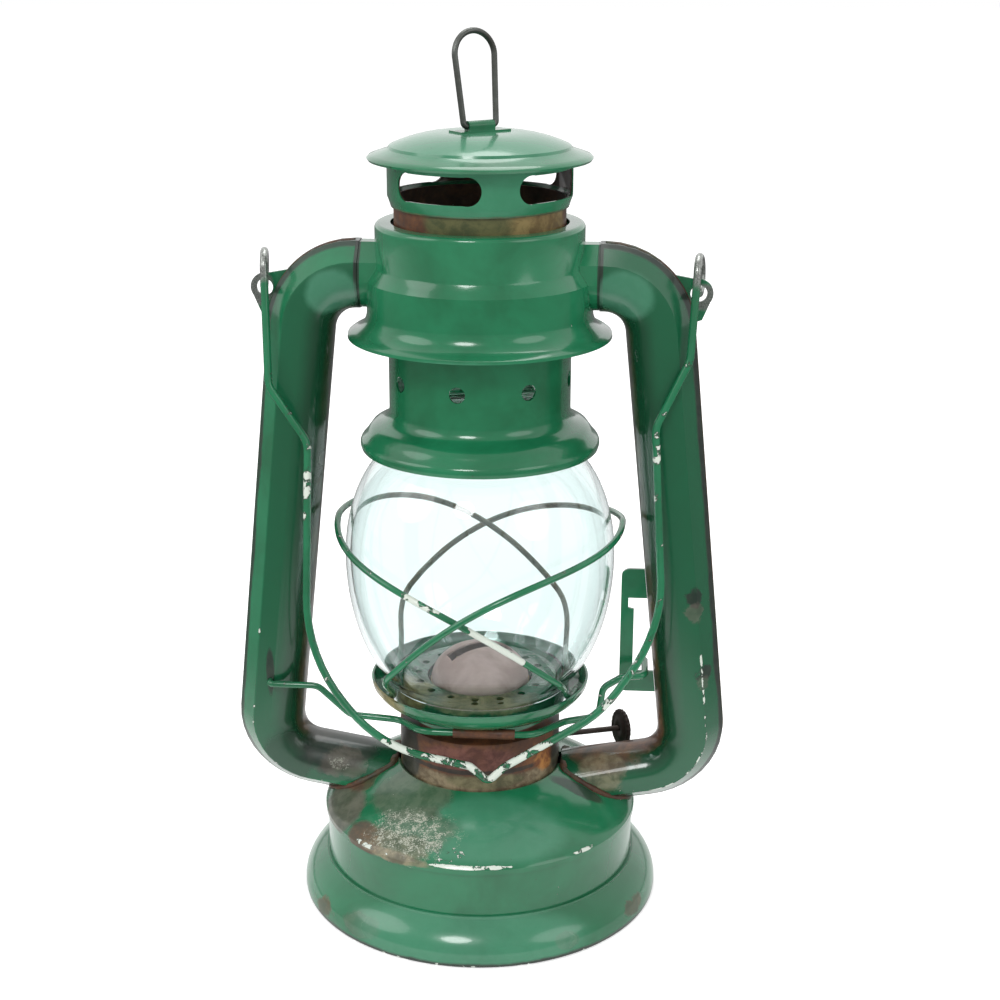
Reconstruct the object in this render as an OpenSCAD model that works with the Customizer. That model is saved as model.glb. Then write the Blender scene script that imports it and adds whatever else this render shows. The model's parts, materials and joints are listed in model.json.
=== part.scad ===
// Small tubular kerosene lantern with a lifting globe, a sprung hood and a wire bail.
// Millimetres, foot on z = 0, front of the lantern toward -y, lamp axis on z.

/* [Fount] */
// radius of the flat foot rim
foot_radius = 57.5; // [54:0.5:62]
// height of the flared foot skirt
foot_height = 12.6; // [10:0.2:16]
// radius of the fount wall
fount_radius = 49.5; // [46:0.5:51]
// height of the straight fount wall above the skirt
fount_height = 17.4; // [14:0.2:24]
// rise of the fount dome
dome_rise = 13.2; // [11:0.2:15]
// radius of the burner collar
collar_radius = 25.6; // [24.4:0.1:26.6]
// height of the burner collar above the dome lip
collar_height = 15; // [14:0.2:18]
// thickness of the pressed sheet
sheet = 0.7; // [0.6:0.05:0.9]
// distance of the filler from the lamp axis
filler_offset = 38.4; // [37.5:0.1:39]
// outer radius of the filler neck
filler_radius = 8.2; // [7:0.1:8.4]

/* [Burner] */
// turn of the burner about the lamp axis in degrees
burner_turn = 26; // [20:1:28]
// width of the flat wick
wick_width = 13; // [9:0.5:14]
// thickness of the flat wick
wick_thickness = 2.2; // [1.8:0.1:2.6]
// radius of the toothed feed wheels
feed_radius = 3.2; // [2.6:0.1:3.6]
// downward tilt of the wick spindle in degrees
spindle_tilt = 4; // [2:0.5:6]
// diameter of the wick spindle
spindle_wire = 1.8; // [1.6:0.1:2.2]
// radius of the thumb wheel
thumb_radius = 7.3; // [6:0.1:7.5]
// height of the burner cone
cone_height = 11.8; // [9:0.2:13]

/* [Globe] */
// largest radius of the glass globe
globe_radius = 42; // [40:0.2:42.6]
// height of the glass globe
globe_height = 88.4; // [84:0.2:94]
// radius of the lower neck of the globe
globe_neck = 28.6; // [28.4:0.1:28.9]
// radius of the upper neck of the globe
globe_crown = 31; // [30:0.1:31.4]
// thickness of the glass
glass = 1.8; // [1.4:0.1:2]
// radius of the globe plate rim
plate_radius = 34.6; // [34:0.1:35.4]
// diameter of the guard wires
guard_wire = 2; // [1.6:0.1:2.2]

/* [Hood] */
// radius of the globe bell
bell_radius = 27.6; // [27.2:0.1:28]
// radius of the bell lip
bell_lip = 36.6; // [35.6:0.1:37.4]
// radius of the chimney tube
chimney_radius = 25.5; // [24.5:0.1:25.7]
// radius of the air chamber
chamber_radius = 31.2; // [30.8:0.1:32]
// height of the air chamber
chamber_height = 34; // [33:0.2:38]
// radius of the hood brim
brim_radius = 33.2; // [31:0.2:36]
// rise of the hood above its brim
hood_rise = 7.7; // [7:0.1:9]
// angle of each vent slot in degrees
vent_angle = 60; // [40:1:64]
// width of the lift ring
ring_width = 13.6; // [12:0.2:16]
// height of the lift ring above its hinge
ring_height = 25.2; // [20:0.2:28]
// turn of the lift ring about the lamp axis in degrees
ring_turn = 38; // [0:1:60]
// backward lean of the lift ring in degrees
ring_lean = 8; // [0:1:12]
// diameter of the spring wire
spring_wire = 1.4; // [1.2:0.1:1.6]
// coils in the hood spring
spring_coils = 4.5; // [4:0.5:5.5]

/* [Tubes] */
// half width of the side tubes
tube_half = 10.3; // [9.6:0.1:10.6]
// half height of the side tubes where they meet the dome
tube_end_half = 8.7; // [8.2:0.1:9.2]
// outward lean of the side tubes in degrees
tube_lean = 6; // [5:0.2:7]
// distance from the lamp axis to the top bends
tube_reach = 37.2; // [36.6:0.1:38.4]
// wall of the side tubes
tube_wall = 0.8; // [0.6:0.05:1]
// radius of the bail ears
ear_radius = 4.3; // [4:0.1:4.6]

/* [Bail] */
// diameter of the bail wire
bail_wire = 2.4; // [2:0.1:2.6]
// forward lean of the hanging bail in degrees
bail_lean = 11; // [10.8:0.2:13]
// length of the bail below its pivots
bail_length = 153; // [150:0.5:156]
// half width of the bail at the grip
bail_half = 52.4; // [51.4:0.1:53]
// shift of the grip toward the right
bail_shift = 2; // [0:0.1:2.6]

/* [Lever] */
// diameter of the lift lever wire
lever_wire = 2.2; // [1.8:0.1:2.4]
// length of the rolled sleeve on the lever
sleeve_length = 19; // [14:0.5:22]

/* [Hidden] */
// clearance of soldered seams and of loose moving parts
seam = 0.06;
loose = 0.3;
running = 0.05;
facets = 96;

// heights of the stack from the foot upward
shoulder_z = foot_height + fount_height;
lip_z = shoulder_z + dome_rise;
collar_z = lip_z + collar_height;
plate_z = collar_z + 13.8;
groove_z = plate_z - 5.1;
globe_z = groove_z + seam;
globe_top = globe_z + globe_height;
bell_z = globe_top - 6.8;
bell_top = bell_z + 33.3;
chamber_z = bell_top + 1.3;
chamber_top = chamber_z + chamber_height;
hood_z = chamber_top + 4.8;
brim_z = hood_z + 13.6;
crown_z = brim_z + hood_rise;
tank_z = shoulder_z - 1.7;

// lines and arcs in a plane
function arc(c, r, a, b, n) = [for (i = [0:n]) c + r * [cos(a + (b - a) * i / n), sin(a + (b - a) * i / n)]];
function unit(v) = v / norm(v);
function side(a, b) = [a.y - b.y, b.x - a.x] / norm(b - a);
function mix(a, b, t) = a + (b - a) * t;
function ease(t) = let (u = min(1, max(0, t))) u * u * (3 - 2 * u);
// the path moved to its left by t, mitred at each corner
function beside(p, t) = let (m = len(p) - 1)
    [for (i = [0:m]) let (
        a = i > 0 ? side(p[i - 1], p[i]) : side(p[0], p[1]),
        b = i < m ? side(p[i], p[i + 1]) : side(p[m - 1], p[m]))
        p[i] + t * (a + b) / (1 + a * b)];
function band(p, t) = let (q = beside(p, t), m = len(q) - 1) concat(p, [for (i = [0:m]) q[m - i]]);

// a pressed shell of revolution, metal on the left of the path
module pressed(p, t) {
    rotate_extrude($fn = facets) polygon(band(p, t));
}

module ring(outer, inner, z0, z1) {
    difference() {
        translate([0, 0, z0]) cylinder(h = z1 - z0, r = outer, $fn = facets);
        translate([0, 0, z0 - 1]) cylinder(h = z1 - z0 + 2, r = inner, $fn = facets);
    }
}

// a path with each inner corner rounded to its own radius
function heading(p, i) = unit(p[i + 1] - p[i]);
function bend(p, u, v, r) = let (
    turn = acos(min(1, u * v)),
    inward = unit(v - u * (u * v)),
    centre = p - u * r * tan(turn / 2) + inward * r,
    n = max(2, ceil(turn / 16)))
    [for (k = [0:n]) centre + r * (u * sin(turn * k / n) - inward * cos(turn * k / n))];
function rounded(p, r) = let (m = len(p) - 1) concat(
    [p[0]],
    [for (i = [1:m - 1]) each bend(p[i], heading(p, i - 1), heading(p, i), r[i])],
    [p[m]]);

// round wire swept along a list of points, its rings carried along without twist
function across(t, a) = unit(a - t * (a * t));
module wire(p, d, sides) {
    m = len(p) - 1;
    t = [for (i = [0:m]) unit(p[min(i + 1, m)] - p[max(i - 1, 0)])];
    start = abs(t[0].y) < 0.9 ? [0, 1, 0] : [1, 0, 0];
    rings = [for (i = 0, a = across(t[0], start); i <= m; i = i + 1, a = across(t[min(i, m)], a))
        let (b = cross(a, t[i]))
        each [for (k = [0:sides - 1]) p[i] + d / 2 * (cos(360 * k / sides) * a + sin(360 * k / sides) * b)]];
    walls = [for (i = [0:m - 1], k = [0:sides - 1]) let (
        e = i * sides + k,
        f = i * sides + (k + 1) % sides)
        each [[e, f, f + sides], [e, f + sides, e + sides]]];
    caps = [[for (k = [0:sides - 1]) sides - 1 - k], [for (k = [0:sides - 1]) m * sides + k]];
    polyhedron(rings, concat(walls, caps));
}

// side tubes in the plane of the lamp axis
bend_one = tube_half + 6.5;
bend_two = tube_half + 5.7;
arm_z = chamber_z + 17.9;
arm_x = chamber_radius + 4.55;
low_z = lip_z + 15.6;
low_slope = 10;
top_centre = [tube_reach, arm_z - bend_one];
out_dir = [cos(tube_lean), sin(tube_lean)];
down_dir = [sin(tube_lean), -cos(tube_lean)];
leg_top = top_centre + bend_one * out_dir;
leg_end = leg_top + down_dir * (leg_top.y - low_z) / cos(tube_lean);
low_centre = leg_end - bend_two * out_dir;
low_end = low_centre + bend_two * [sin(low_slope), -cos(low_slope)];
function tube_x(z) = leg_top.x + (leg_top.y - z) * tan(tube_lean);
function tube_arm_z(x) = low_end.y - (low_end.x - x) * tan(low_slope);

// fount and foot
skirt_radius = fount_radius + seam + sheet;
function skirt_path() = concat(
    [[foot_radius - 0.9, 0], [foot_radius - 0.2, 0.5], [foot_radius, 1.3]],
    [for (i = [0:8]) let (u = i / 8)
        [foot_radius - (foot_radius - skirt_radius) * pow(u, 2.2), 2.2 + (foot_height - 2.2) * u]],
    [[skirt_radius, foot_height + 0.9]]);
module foot_skirt() {
    outside = skirt_path();
    inside = beside(outside, sheet);
    m = len(inside) - 1;
    roll = 2.4;
    color("SeaGreen") rotate_extrude($fn = facets)
        polygon(concat(outside, [for (i = [0:m - 3]) inside[m - i]],
            [[foot_radius - roll, roll], [foot_radius - roll, 0]]));
}

module fount_wall() {
    color("SeaGreen") ring(fount_radius, fount_radius - sheet, foot_height - 8, shoulder_z - 0.9);
}

module fount_bottom() {
    r = fount_radius - sheet - seam;
    z = foot_height - 7;
    color("DarkSeaGreen") pressed([[0, z + 1.4], [r - 9, z + 1.4], [r - 6, z], [r, z]], sheet);
}

// height of the dome over its radius, and back
dome_foot = fount_radius + 0.1;
dome_top = collar_radius + 2;
dome_bulge = 0.25;
dome_z0 = shoulder_z + 0.4;
dome_z1 = lip_z - 0.2;
function dome_height(t) = mix(dome_z0, dome_z1, t + dome_bulge * t * (1 - t));
function dome_radius(z) = let (
    q = min(1, (z - dome_z0) / (dome_z1 - dome_z0)),
    s = 1 + dome_bulge)
    mix(dome_foot, dome_top, (s - sqrt(s * s - 4 * dome_bulge * q)) / (2 * dome_bulge));
module fount_dome() {
    rim = fount_radius + seam + sheet;
    path = concat(
        [[rim, shoulder_z - 2.2], [rim, shoulder_z - 0.6]],
        [for (i = [0:12]) [mix(dome_foot, dome_top, i / 12), dome_height(i / 12)]],
        [[collar_radius + 1.1, lip_z + 0.3], [collar_radius + 0.3, lip_z], [collar_radius + seam, lip_z - 2.2]]);
    color("SeaGreen") difference() {
        pressed(path, sheet);
        for (s = [-1, 1]) translate([s * 38, 0, tube_arm_z(38) + 1])
            rotate([0, 90, 0]) cylinder(h = 40, r = 5.6, center = true, $fn = 48);
        translate([0, filler_offset, tank_z])
            cylinder(h = 40, r = filler_radius + seam, $fn = 48);
    }
}

module tank_top() {
    r = fount_radius - sheet - seam;
    color("Silver") difference() {
        union() {
            translate([0, 0, tank_z - sheet]) cylinder(h = sheet, r = r, $fn = facets);
            translate([0, 0, tank_z - 3]) cylinder(h = burner_z - tank_z + 3, r = burner_seat + 2, $fn = facets);
        }
        translate([0, 0, tank_z - 20]) cylinder(h = 60, r = burner_seat, $fn = facets);
        translate([0, filler_offset, tank_z - 10])
            cylinder(h = 20, r = filler_radius + seam, $fn = 48);
    }
}

module burner_collar() {
    neck = collar_radius - 3.3;
    color("Sienna") difference() {
        pressed([[collar_radius, lip_z - 2.6], [collar_radius, collar_z - 0.6], [collar_radius - 0.5, collar_z + 0.5],
            [neck + 0.7, collar_z + 1.3], [neck, collar_z + 2], [neck, collar_z + 6.2]], sheet);
        on_spindle() rotate([0, 90, 0]) cylinder(h = 60, d = spindle_wire + 1.4, $fn = 32);
    }
}

// filler at the back of the dome
neck_top = lip_z + 5;
module filler_neck() {
    color("Peru") translate([0, filler_offset, 0])
        ring(filler_radius, filler_radius - 0.9, tank_z - 1.2, neck_top);
}
module filler_gasket() {
    color("DimGray") translate([0, filler_offset, 0])
        ring(filler_radius + 0.2, filler_radius - 2.4, neck_top + seam, neck_top + 1);
}
module filler_cap() {
    outer = filler_radius + 1.7;
    grips = 18;
    top = neck_top + 1 + seam;
    color("SeaGreen") translate([0, filler_offset, 0]) difference() {
        pressed([[outer, top - 4.6], [outer, top + 0.2], [outer - 0.8, top + 0.9],
            [filler_radius - 2, top + 0.9], [filler_radius - 3, top + 1.5], [0, top + 1.5]], 0.9);
        for (i = [0:grips - 1]) rotate([0, 0, 360 * i / grips])
            translate([outer + 0.45, 0, top - 6]) cylinder(h = 12, r = 0.8, $fn = 16);
    }
}

// burner in the middle of the collar
burner_seat = 13.4;
burner_z = lip_z - 3.6;
burner_body = 14;
burner_top = plate_z - 1.5;
spindle_z = lip_z + 6.6;
spindle_y = -(wick_thickness / 2 + feed_radius + 0.1);
module on_burner() {
    rotate([0, 0, burner_turn]) children();
}
module on_spindle() {
    on_burner() translate([0, spindle_y, spindle_z]) rotate([0, spindle_tilt, 0]) children();
}
module burner_base() {
    color("Peru") difference() {
        union() {
            pressed([[burner_seat - 0.15, burner_z - 12], [burner_seat - 0.15, burner_z + 0.1],
                [burner_seat + 2.4, burner_z + 0.1],
                [burner_seat + 2.4, burner_z + 2.2], [burner_body, burner_z + 3], [burner_body, burner_top - 5],
                [burner_body + 1.9, burner_top - 1.6], [burner_body + 1.9, burner_top]], sheet);
            translate([0, 0, burner_z + 3.6])
                cylinder(h = 0.8, r = burner_body - sheet / 2, $fn = facets);
        }
        on_burner() translate([-wick_width / 2 - 1.1 - seam, -wick_thickness / 2 - 1 - seam, burner_z])
            cube([wick_width + 2.2 + 2 * seam, wick_thickness + 2 + 2 * seam, 10]);
        on_spindle() rotate([0, 90, 0]) cylinder(h = 60, d = spindle_wire + 2 * running, center = true, $fn = 32);
        for (i = [0:5]) rotate([0, 0, 40 + 60 * i]) translate([0, 0, burner_top - 9])
            rotate([0, 90, 0]) cylinder(h = 20, r = 2.4, $fn = 24);
    }
}
module wick_tube() {
    w = wick_width + 2.2;
    t = wick_thickness + 2;
    z0 = burner_z - 7;
    z1 = plate_z + cone_height - 5.4;
    color("DarkGoldenrod") on_burner() difference() {
        translate([-w / 2, -t / 2, z0]) cube([w, t, z1 - z0]);
        translate([-w / 2 + 0.7, -t / 2 + 0.7, z0 - 1]) cube([w - 1.4, t - 1.4, z1 - z0 + 2]);
        translate([-5.8, -t, spindle_z - 4.6]) cube([11.6, t, 9.2]);
    }
}
module burner_cone() {
    r = burner_body + 1.7;
    z = burner_top + seam;
    slot = [21, 5, 20];
    path = concat([for (i = [0:14]) [r * cos(6 * i), z + cone_height * sin(6 * i)]],
        [[1.2, z + cone_height], [0, z + cone_height]]);
    color("SaddleBrown") difference() {
        pressed(path, 0.6);
        on_burner() translate([-slot.x / 2, -slot.y / 2, z + 4]) cube(slot);
    }
}
wick_top = plate_z + cone_height - 4.6;
module wick() {
    z0 = foot_height + 1;
    color("Linen") on_burner()
        translate([-wick_width / 2, -wick_thickness / 2, z0]) cube([wick_width, wick_thickness, wick_top - z0]);
}
spindle_reach = 47.6;
module wick_spindle() {
    teeth = 8;
    color("DimGray") on_spindle() {
        translate([-burner_body - 1.6, 0, 0]) rotate([0, 90, 0])
            cylinder(h = spindle_reach + burner_body + 1.6, d = spindle_wire, $fn = 32);
        for (x = [-4.4, 2.8]) translate([x, 0, 0]) rotate([0, 90, 0]) {
            cylinder(h = 1.6, r = feed_radius - 0.7, $fn = 32);
            for (i = [0:teeth - 1]) rotate([0, 0, 360 * i / teeth])
                translate([0, -0.3, 0]) cube([feed_radius - 0.06, 0.6, 1.6]);
        }
    }
}
module thumb_wheel() {
    grips = 22;
    color("DimGray") on_spindle() translate([spindle_reach + seam, 0, 0]) rotate([0, 90, 0]) difference() {
        union() {
            cylinder(h = 2.2, r = thumb_radius, $fn = 48);
            translate([0, 0, 2.2]) cylinder(h = 1, r1 = thumb_radius - 2, r2 = thumb_radius - 3, $fn = 48);
        }
        for (i = [0:grips - 1]) rotate([0, 0, 360 * i / grips])
            translate([thumb_radius + 0.3, 0, -1]) cylinder(h = 6, r = 0.7, $fn = 16);
    }
}

// globe carriage
function globe_wall(z) = let (
    mid = globe_z + globe_height * 0.527,
    low = (mid - globe_z) * 0.98,
    high = (globe_top - mid) * 0.905,
    base = globe_radius - 24,
    u = z < mid ? (mid - z) / low : (z - mid) / high,
    r = base + 24 * sqrt(max(0, 1 - u * u)))
    max(r, z < mid ? globe_neck : globe_crown);
module globe_plate() {
    r = plate_radius - sheet;
    floor_hole = burner_body + 2.9;
    color("SeaGreen") difference() {
        union() {
            pressed([[r, plate_z + 0.4], [r - 0.3, plate_z - 1.3], [r - 1.7, plate_z - 3.2],
                [r - 3.5, groove_z + 0.4], [r - 4.7, groove_z], [globe_neck - 2, groove_z],
                [globe_neck - 2.4, groove_z + 0.4], [globe_neck - 3.2, plate_z - 0.8],
                [globe_neck - 3.9, plate_z], [floor_hole, plate_z]], sheet);
            ring(collar_radius - 2, collar_radius - 2.7, collar_z + 3.3, plate_z - sheet / 2);
        }
        for (i = [0:15]) rotate([0, 0, 22.5 * i]) translate([(floor_hole + collar_radius - 2.7) / 2, 0, plate_z - 3])
            cylinder(h = 6, r = 1.2, $fn = 16);
    }
}
module globe_glass() {
    n = 36;
    color("LightCyan", 0.35)
        pressed([for (i = [0:n]) let (z = mix(globe_z, globe_top, i / n)) [globe_wall(z), z]], glass);
}

// guard wires follow the globe from a high side down to two feet on the plate
guard_end_z = groove_z + 2.9;
guard_top_z = globe_z + globe_height * 0.655;
// span in degrees, steepness and dip of each half, in front and behind
guard_halves = [[155, 2.2, 0.12], [158, 2.05, 0.02]];
function guard_point(t, out) = let (
    half = guard_halves[t < 0 ? 0 : 1],
    u = abs(t),
    a = u * half[0],
    fall = (1 + cos(180 * pow(u, half[1]))) / 2 - half[2] * sin(180 * u),
    z = mix(guard_end_z, guard_top_z, fall),
    wide = globe_radius + guard_wire / 2 + loose + (out > 0 ? 1 + (guard_wire + 0.2) * sin(a) * sin(a)
        : 1 - 0.95 * sin(a) * sin(a)),
    r = mix(globe_neck + 2.7, wide, ease((z - guard_end_z) / 18)))
    [r * cos(a), (t < 0 ? -1 : 1) * r * sin(a), z];
module guard(out) {
    n = 22;
    wire([for (i = [-n:n]) guard_point(i / n, out)], guard_wire, 8);
}
module right_guard() {
    color("SeaGreen") guard(1);
}
module left_guard() {
    color("SeaGreen") mirror([1, 0, 0]) guard(-1);
}

// lift lever, pinned in the front of the left tube
pivot_z = collar_z + 13.3;
pivot_x = -tube_x(pivot_z);
lever_y = -(tube_half + 0.9 + lever_wire / 2);
front_y = -(collar_radius + 2.4);
sleeve_radius = lever_wire / 2 + 0.5;
lever_z = groove_z - sheet - loose - sleeve_radius;
handle_z = plate_z + 4.3;
handle_x = tube_x(handle_z) - tube_half - 2.7;
function lever_path() = [
    [pivot_x, lever_y + 7, pivot_z],
    [pivot_x, lever_y, pivot_z],
    [pivot_x + 15.5, lever_y, pivot_z],
    [pivot_x + 26, lever_y - 2, lever_z - 1.5],
    [-plate_radius + 10.6, lever_y - 2.5, lever_z - 2.5],
    [-16, front_y, lever_z],
    [18.5, front_y, lever_z],
    [plate_radius - 7, lever_y, lever_z - 2.4],
    [plate_radius + 3.6, -7.5, lever_z - 2.4],
    [plate_radius + 4.8, -7.5, handle_z - 4.5],
    [handle_x - 7, -7.5, handle_z - 0.6],
    [handle_x, -7.5, handle_z],
    [handle_x, 5, handle_z]];
module lift_lever() {
    color("SeaGreen")
        wire(rounded(lever_path(), [0, 1.5, 5, 5, 6, 7, 7, 6, 3.6, 4, 3, 2.4, 0]), lever_wire, 8);
}
module lever_sleeve() {
    color("Sienna") translate([3.4, front_y, lever_z]) rotate([0, 90, 0])
        difference() {
            cylinder(h = sleeve_length, r = sleeve_radius, center = true, $fn = 32);
            cylinder(h = sleeve_length + 2, r = lever_wire / 2 + seam, center = true, $fn = 32);
        }
}
module lever_bracket() {
    left = handle_x - 8;
    bottom = plate_z - 4.1;
    top = plate_z + 37.2;
    window = plate_z + 2.8;
    window_top = plate_z + 27.6;
    edge = handle_x - 3.9;
    color("SeaGreen") rotate([90, 0, 0]) linear_extrude(1, center = true) difference() {
        polygon(concat(
            arc([left + 2, bottom + 2], 2, 270, 180, 5), arc([left + 2.5, top - 2.5], 2.5, 180, 90, 5),
            [[tube_x(top) - 3, top], [tube_x(bottom) - 3, bottom]]));
        polygon([[edge, window], [tube_x(window), window], [tube_x(window_top), window_top],
            [edge - 1.8, window_top], [edge - 1.8, window_top - 3.4], [edge, window_top - 3.8]]);
        polygon([[tube_x(top + 9) - tube_half / cos(tube_lean) - seam, top + 9], [tube_x(top + 9) + 30, top + 9],
            [tube_x(bottom - 9) + 30, bottom - 9], [tube_x(bottom - 9) - tube_half / cos(tube_lean) - seam, bottom - 9]]);
    }
}

// section: round toward the globe, narrow flats in front and behind, chamfered outside
tube_angles = concat([for (i = [0:10]) -175 + 17 * i], [28.5, 75, 105, 151.5]);
function tube_ring(c, n, high, wall) = [for (a = tube_angles) let (
    corner = a > 60 && a < 120 ? 1.035 : 1,
    u = (high * corner - wall) * sin(a),
    v = -(tube_half - wall) * cos(a) * (a > 20 && a < 160 ? 1.04 : 1))
    [c.x + n.x * u, v, c.y + n.y * u]];
// the last ring runs on along the arm until it meets the dome, or the collar above the lip
function seat_radius(z) = z < dome_z1 ? dome_radius(z) + 4 * seam
    : mix(dome_top, collar_radius, ease((z - lip_z - 0.8) / 2)) + 4 * seam;
function to_dome(p, x, k) = let (z = p.z - (p.x - x) * tan(low_slope))
    k == 0 ? [x, p.y, z] : to_dome(p, sqrt(pow(seat_radius(z), 2) - p.y * p.y), k - 1);
function tube_rings(wall) = concat(
    [tube_ring([arm_x, arm_z], [0, 1], tube_half, wall)],
    [for (i = [0:9]) let (a = mix(90, tube_lean, i / 9), n = [cos(a), sin(a)])
        tube_ring(top_centre + bend_one * n, n, tube_half, wall)],
    [for (i = [0:10]) let (a = mix(tube_lean, low_slope - 90, i / 10), n = [cos(a), sin(a)])
        tube_ring(low_centre + bend_two * n, n, mix(tube_half, tube_end_half, ease(i / 10)), wall)],
    [let (n = [sin(low_slope), -cos(low_slope)])
        [for (p = tube_ring(low_end, n, tube_end_half, wall)) to_dome(p, dome_top + 10, 8)]]);
module side_tube() {
    outside = tube_rings(0);
    inside = tube_rings(tube_wall);
    m = len(outside) - 1;
    k = len(tube_angles);
    rings = concat(outside, [for (i = [0:m]) inside[m - i]]);
    w = len(rings);
    faces = [for (i = [0:w - 1], j = [0:k - 1]) let (
        a = i * k + j,
        b = i * k + (j + 1) % k,
        c = ((i + 1) % w) * k + (j + 1) % k,
        d = ((i + 1) % w) * k + j)
        each [[a, b, c], [a, c, d]]];
    polyhedron([for (q = rings) each q], faces);
}
module right_tube() {
    color("SeaGreen") side_tube();
}
module left_tube() {
    color("SeaGreen") difference() {
        mirror([1, 0, 0]) side_tube();
        translate([pivot_x, 0, pivot_z]) rotate([90, 0, 0])
            cylinder(h = 30, d = lever_wire + 2 * running, $fn = 24);
    }
}

// ears stand on the outside of the top bends
ear_x = tube_reach + 27.8;
ear_z = arm_z - 4.5;
hole_radius = bail_wire / 2 + 1.3;
ear_sheet = 1;
outer_flat = 1.035 * sin(75);
module ear_plate() {
    rotate([90, 0, 0]) linear_extrude(ear_sheet, center = true) children();
}
module ear() {
    difference() {
        union() {
            ear_plate() translate([ear_x, ear_z]) circle(r = ear_radius, $fn = 48);
            ear_plate() polygon([[ear_x - 13, arm_z + 2], [ear_x - 0.6, ear_z + ear_radius - 0.1],
                [ear_x + ear_radius - 0.1, ear_z - 0.8], [ear_x + 1.2, ear_z - 8], [ear_x - 12, ear_z - 12]]);
        }
        rotate([90, 0, 0]) translate([ear_x, ear_z, 0]) cylinder(h = 9, r = hole_radius, center = true, $fn = 48);
        rotate([90, 0, 0]) translate([top_centre.x, top_centre.y, 0])
            cylinder(h = 9, r = bend_one + tube_half * outer_flat + seam, center = true, $fn = facets);
    }
}
module right_ear() {
    color("SeaGreen") ear();
}
module left_ear() {
    color("SeaGreen") mirror([1, 0, 0]) ear();
}

// air chamber under the hood
module stub(x0, x1, wall) {
    translate([x0, 0, arm_z]) rotate([90, 0, 90]) linear_extrude(x1 - x0)
        polygon([for (a = tube_angles) let (corner = a > 60 && a < 120 ? 1.035 : 1)
            [-(tube_half - wall) * cos(a), (tube_half * corner - wall) * sin(a)]]);
}
module air_chamber() {
    waist = chamber_radius + 2.7;
    bore = chimney_radius + 1;
    path = concat(
        [[waist + 5.9, chamber_z], [waist + 5.8, chamber_z + 0.9]],
        arc([waist + 6.2, chamber_z + 7.6], 6.2, 258, 180, 7),
        [[waist, chamber_z + 17.2], [chamber_radius + 0.3, chamber_z + 20.6], [chamber_radius, chamber_z + 21.3]],
        arc([chamber_radius - 1.4, chamber_top - 1.4], 1.4, 0, 90, 5),
        [[bore, chamber_top]]);
    color("SeaGreen") difference() {
        union() {
            pressed(path, sheet);
            difference() {
                for (s = [0, 1]) mirror([s, 0, 0]) stub(20, arm_x - seam, 0.3);
                translate([0, 0, chamber_z]) cylinder(h = chamber_height, r = chamber_radius - sheet / 2, $fn = facets);
            }
        }
        for (s = [0, 1]) mirror([s, 0, 0]) stub(20, arm_x + 5, 1.1);
    }
}

// hood: bell, chimney, slotted wall and cap rise as one against the spring
module globe_bell() {
    holes = 8;
    path = concat(
        [[bell_lip - 0.4, bell_z]],
        arc([bell_lip - 2.2, bell_z + 1.6], 2.2, -20, 60, 5),
        [[bell_radius + 5.4, bell_z + 7]],
        arc([bell_radius + 4.6, bell_z + 12.4], 4.6, 235, 180, 6),
        [[bell_radius, bell_top - 0.8]],
        [[bell_radius - 0.8, bell_top], [chimney_radius + seam, bell_top]]);
    color("SeaGreen") difference() {
        pressed(path, sheet);
        for (i = [0:holes - 1]) rotate([0, 0, -99.5 + 360 * i / holes]) translate([0, 0, bell_z + 22.4])
            rotate([0, 90, 0]) cylinder(h = 40, r = 2.4, $fn = 32);
    }
}
module chimney_tube() {
    color("Sienna") ring(chimney_radius, chimney_radius - 0.6, bell_top - 5, hood_z + 2.6);
}
// slots with rounded ends stand in two pairs, one toward the front and one behind
vent_turns = [-114.5, -31.5, 65.5, 148.5];
vent_half = 4.1;
vent_mid = hood_z + 7.6;
module vent(r) {
    deep = 8;
    end = asin(vent_half / r);
    rotate([0, 0, end - vent_angle / 2]) rotate_extrude(angle = vent_angle - 2 * end, $fn = facets)
        translate([r - deep / 2, vent_mid - 0.97 * vent_half]) square([deep, 1.94 * vent_half]);
    for (s = [-1, 1]) rotate([0, 0, s * (vent_angle / 2 - end)]) translate([r - deep / 2, 0, vent_mid])
        rotate([0, 90, 0]) cylinder(h = deep, r = vent_half, $fn = 48);
}
module hood_wall() {
    r = chimney_radius + seam + sheet;
    flare = r + 1.1;
    color("SeaGreen") difference() {
        pressed([[r, hood_z], [r + 0.5, hood_z + 1.6], [flare, hood_z + 3.2], [flare, brim_z + 1.9]], sheet);
        for (a = vent_turns) rotate([0, 0, a]) vent(flare);
    }
}
module hood_cap() {
    step = chimney_radius + sheet + 0.4;
    step_z = brim_z + 3.9;
    seat = 9.6;
    path = concat(
        [[brim_radius - 0.5, brim_z - 0.3], [brim_radius, brim_z + 0.4], [brim_radius - 0.5, brim_z + 1],
            [step + 1.4, brim_z + 2.6], [step + 0.4, brim_z + 3.1], [step, step_z]],
        [for (i = [1:8]) let (q = i / 8)
            [mix(step, seat, q), mix(step_z, crown_z, 1 - (1 - q) * (1 - q))]],
        [[0, crown_z]]);
    color("SeaGreen") pressed(path, sheet);
}

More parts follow.
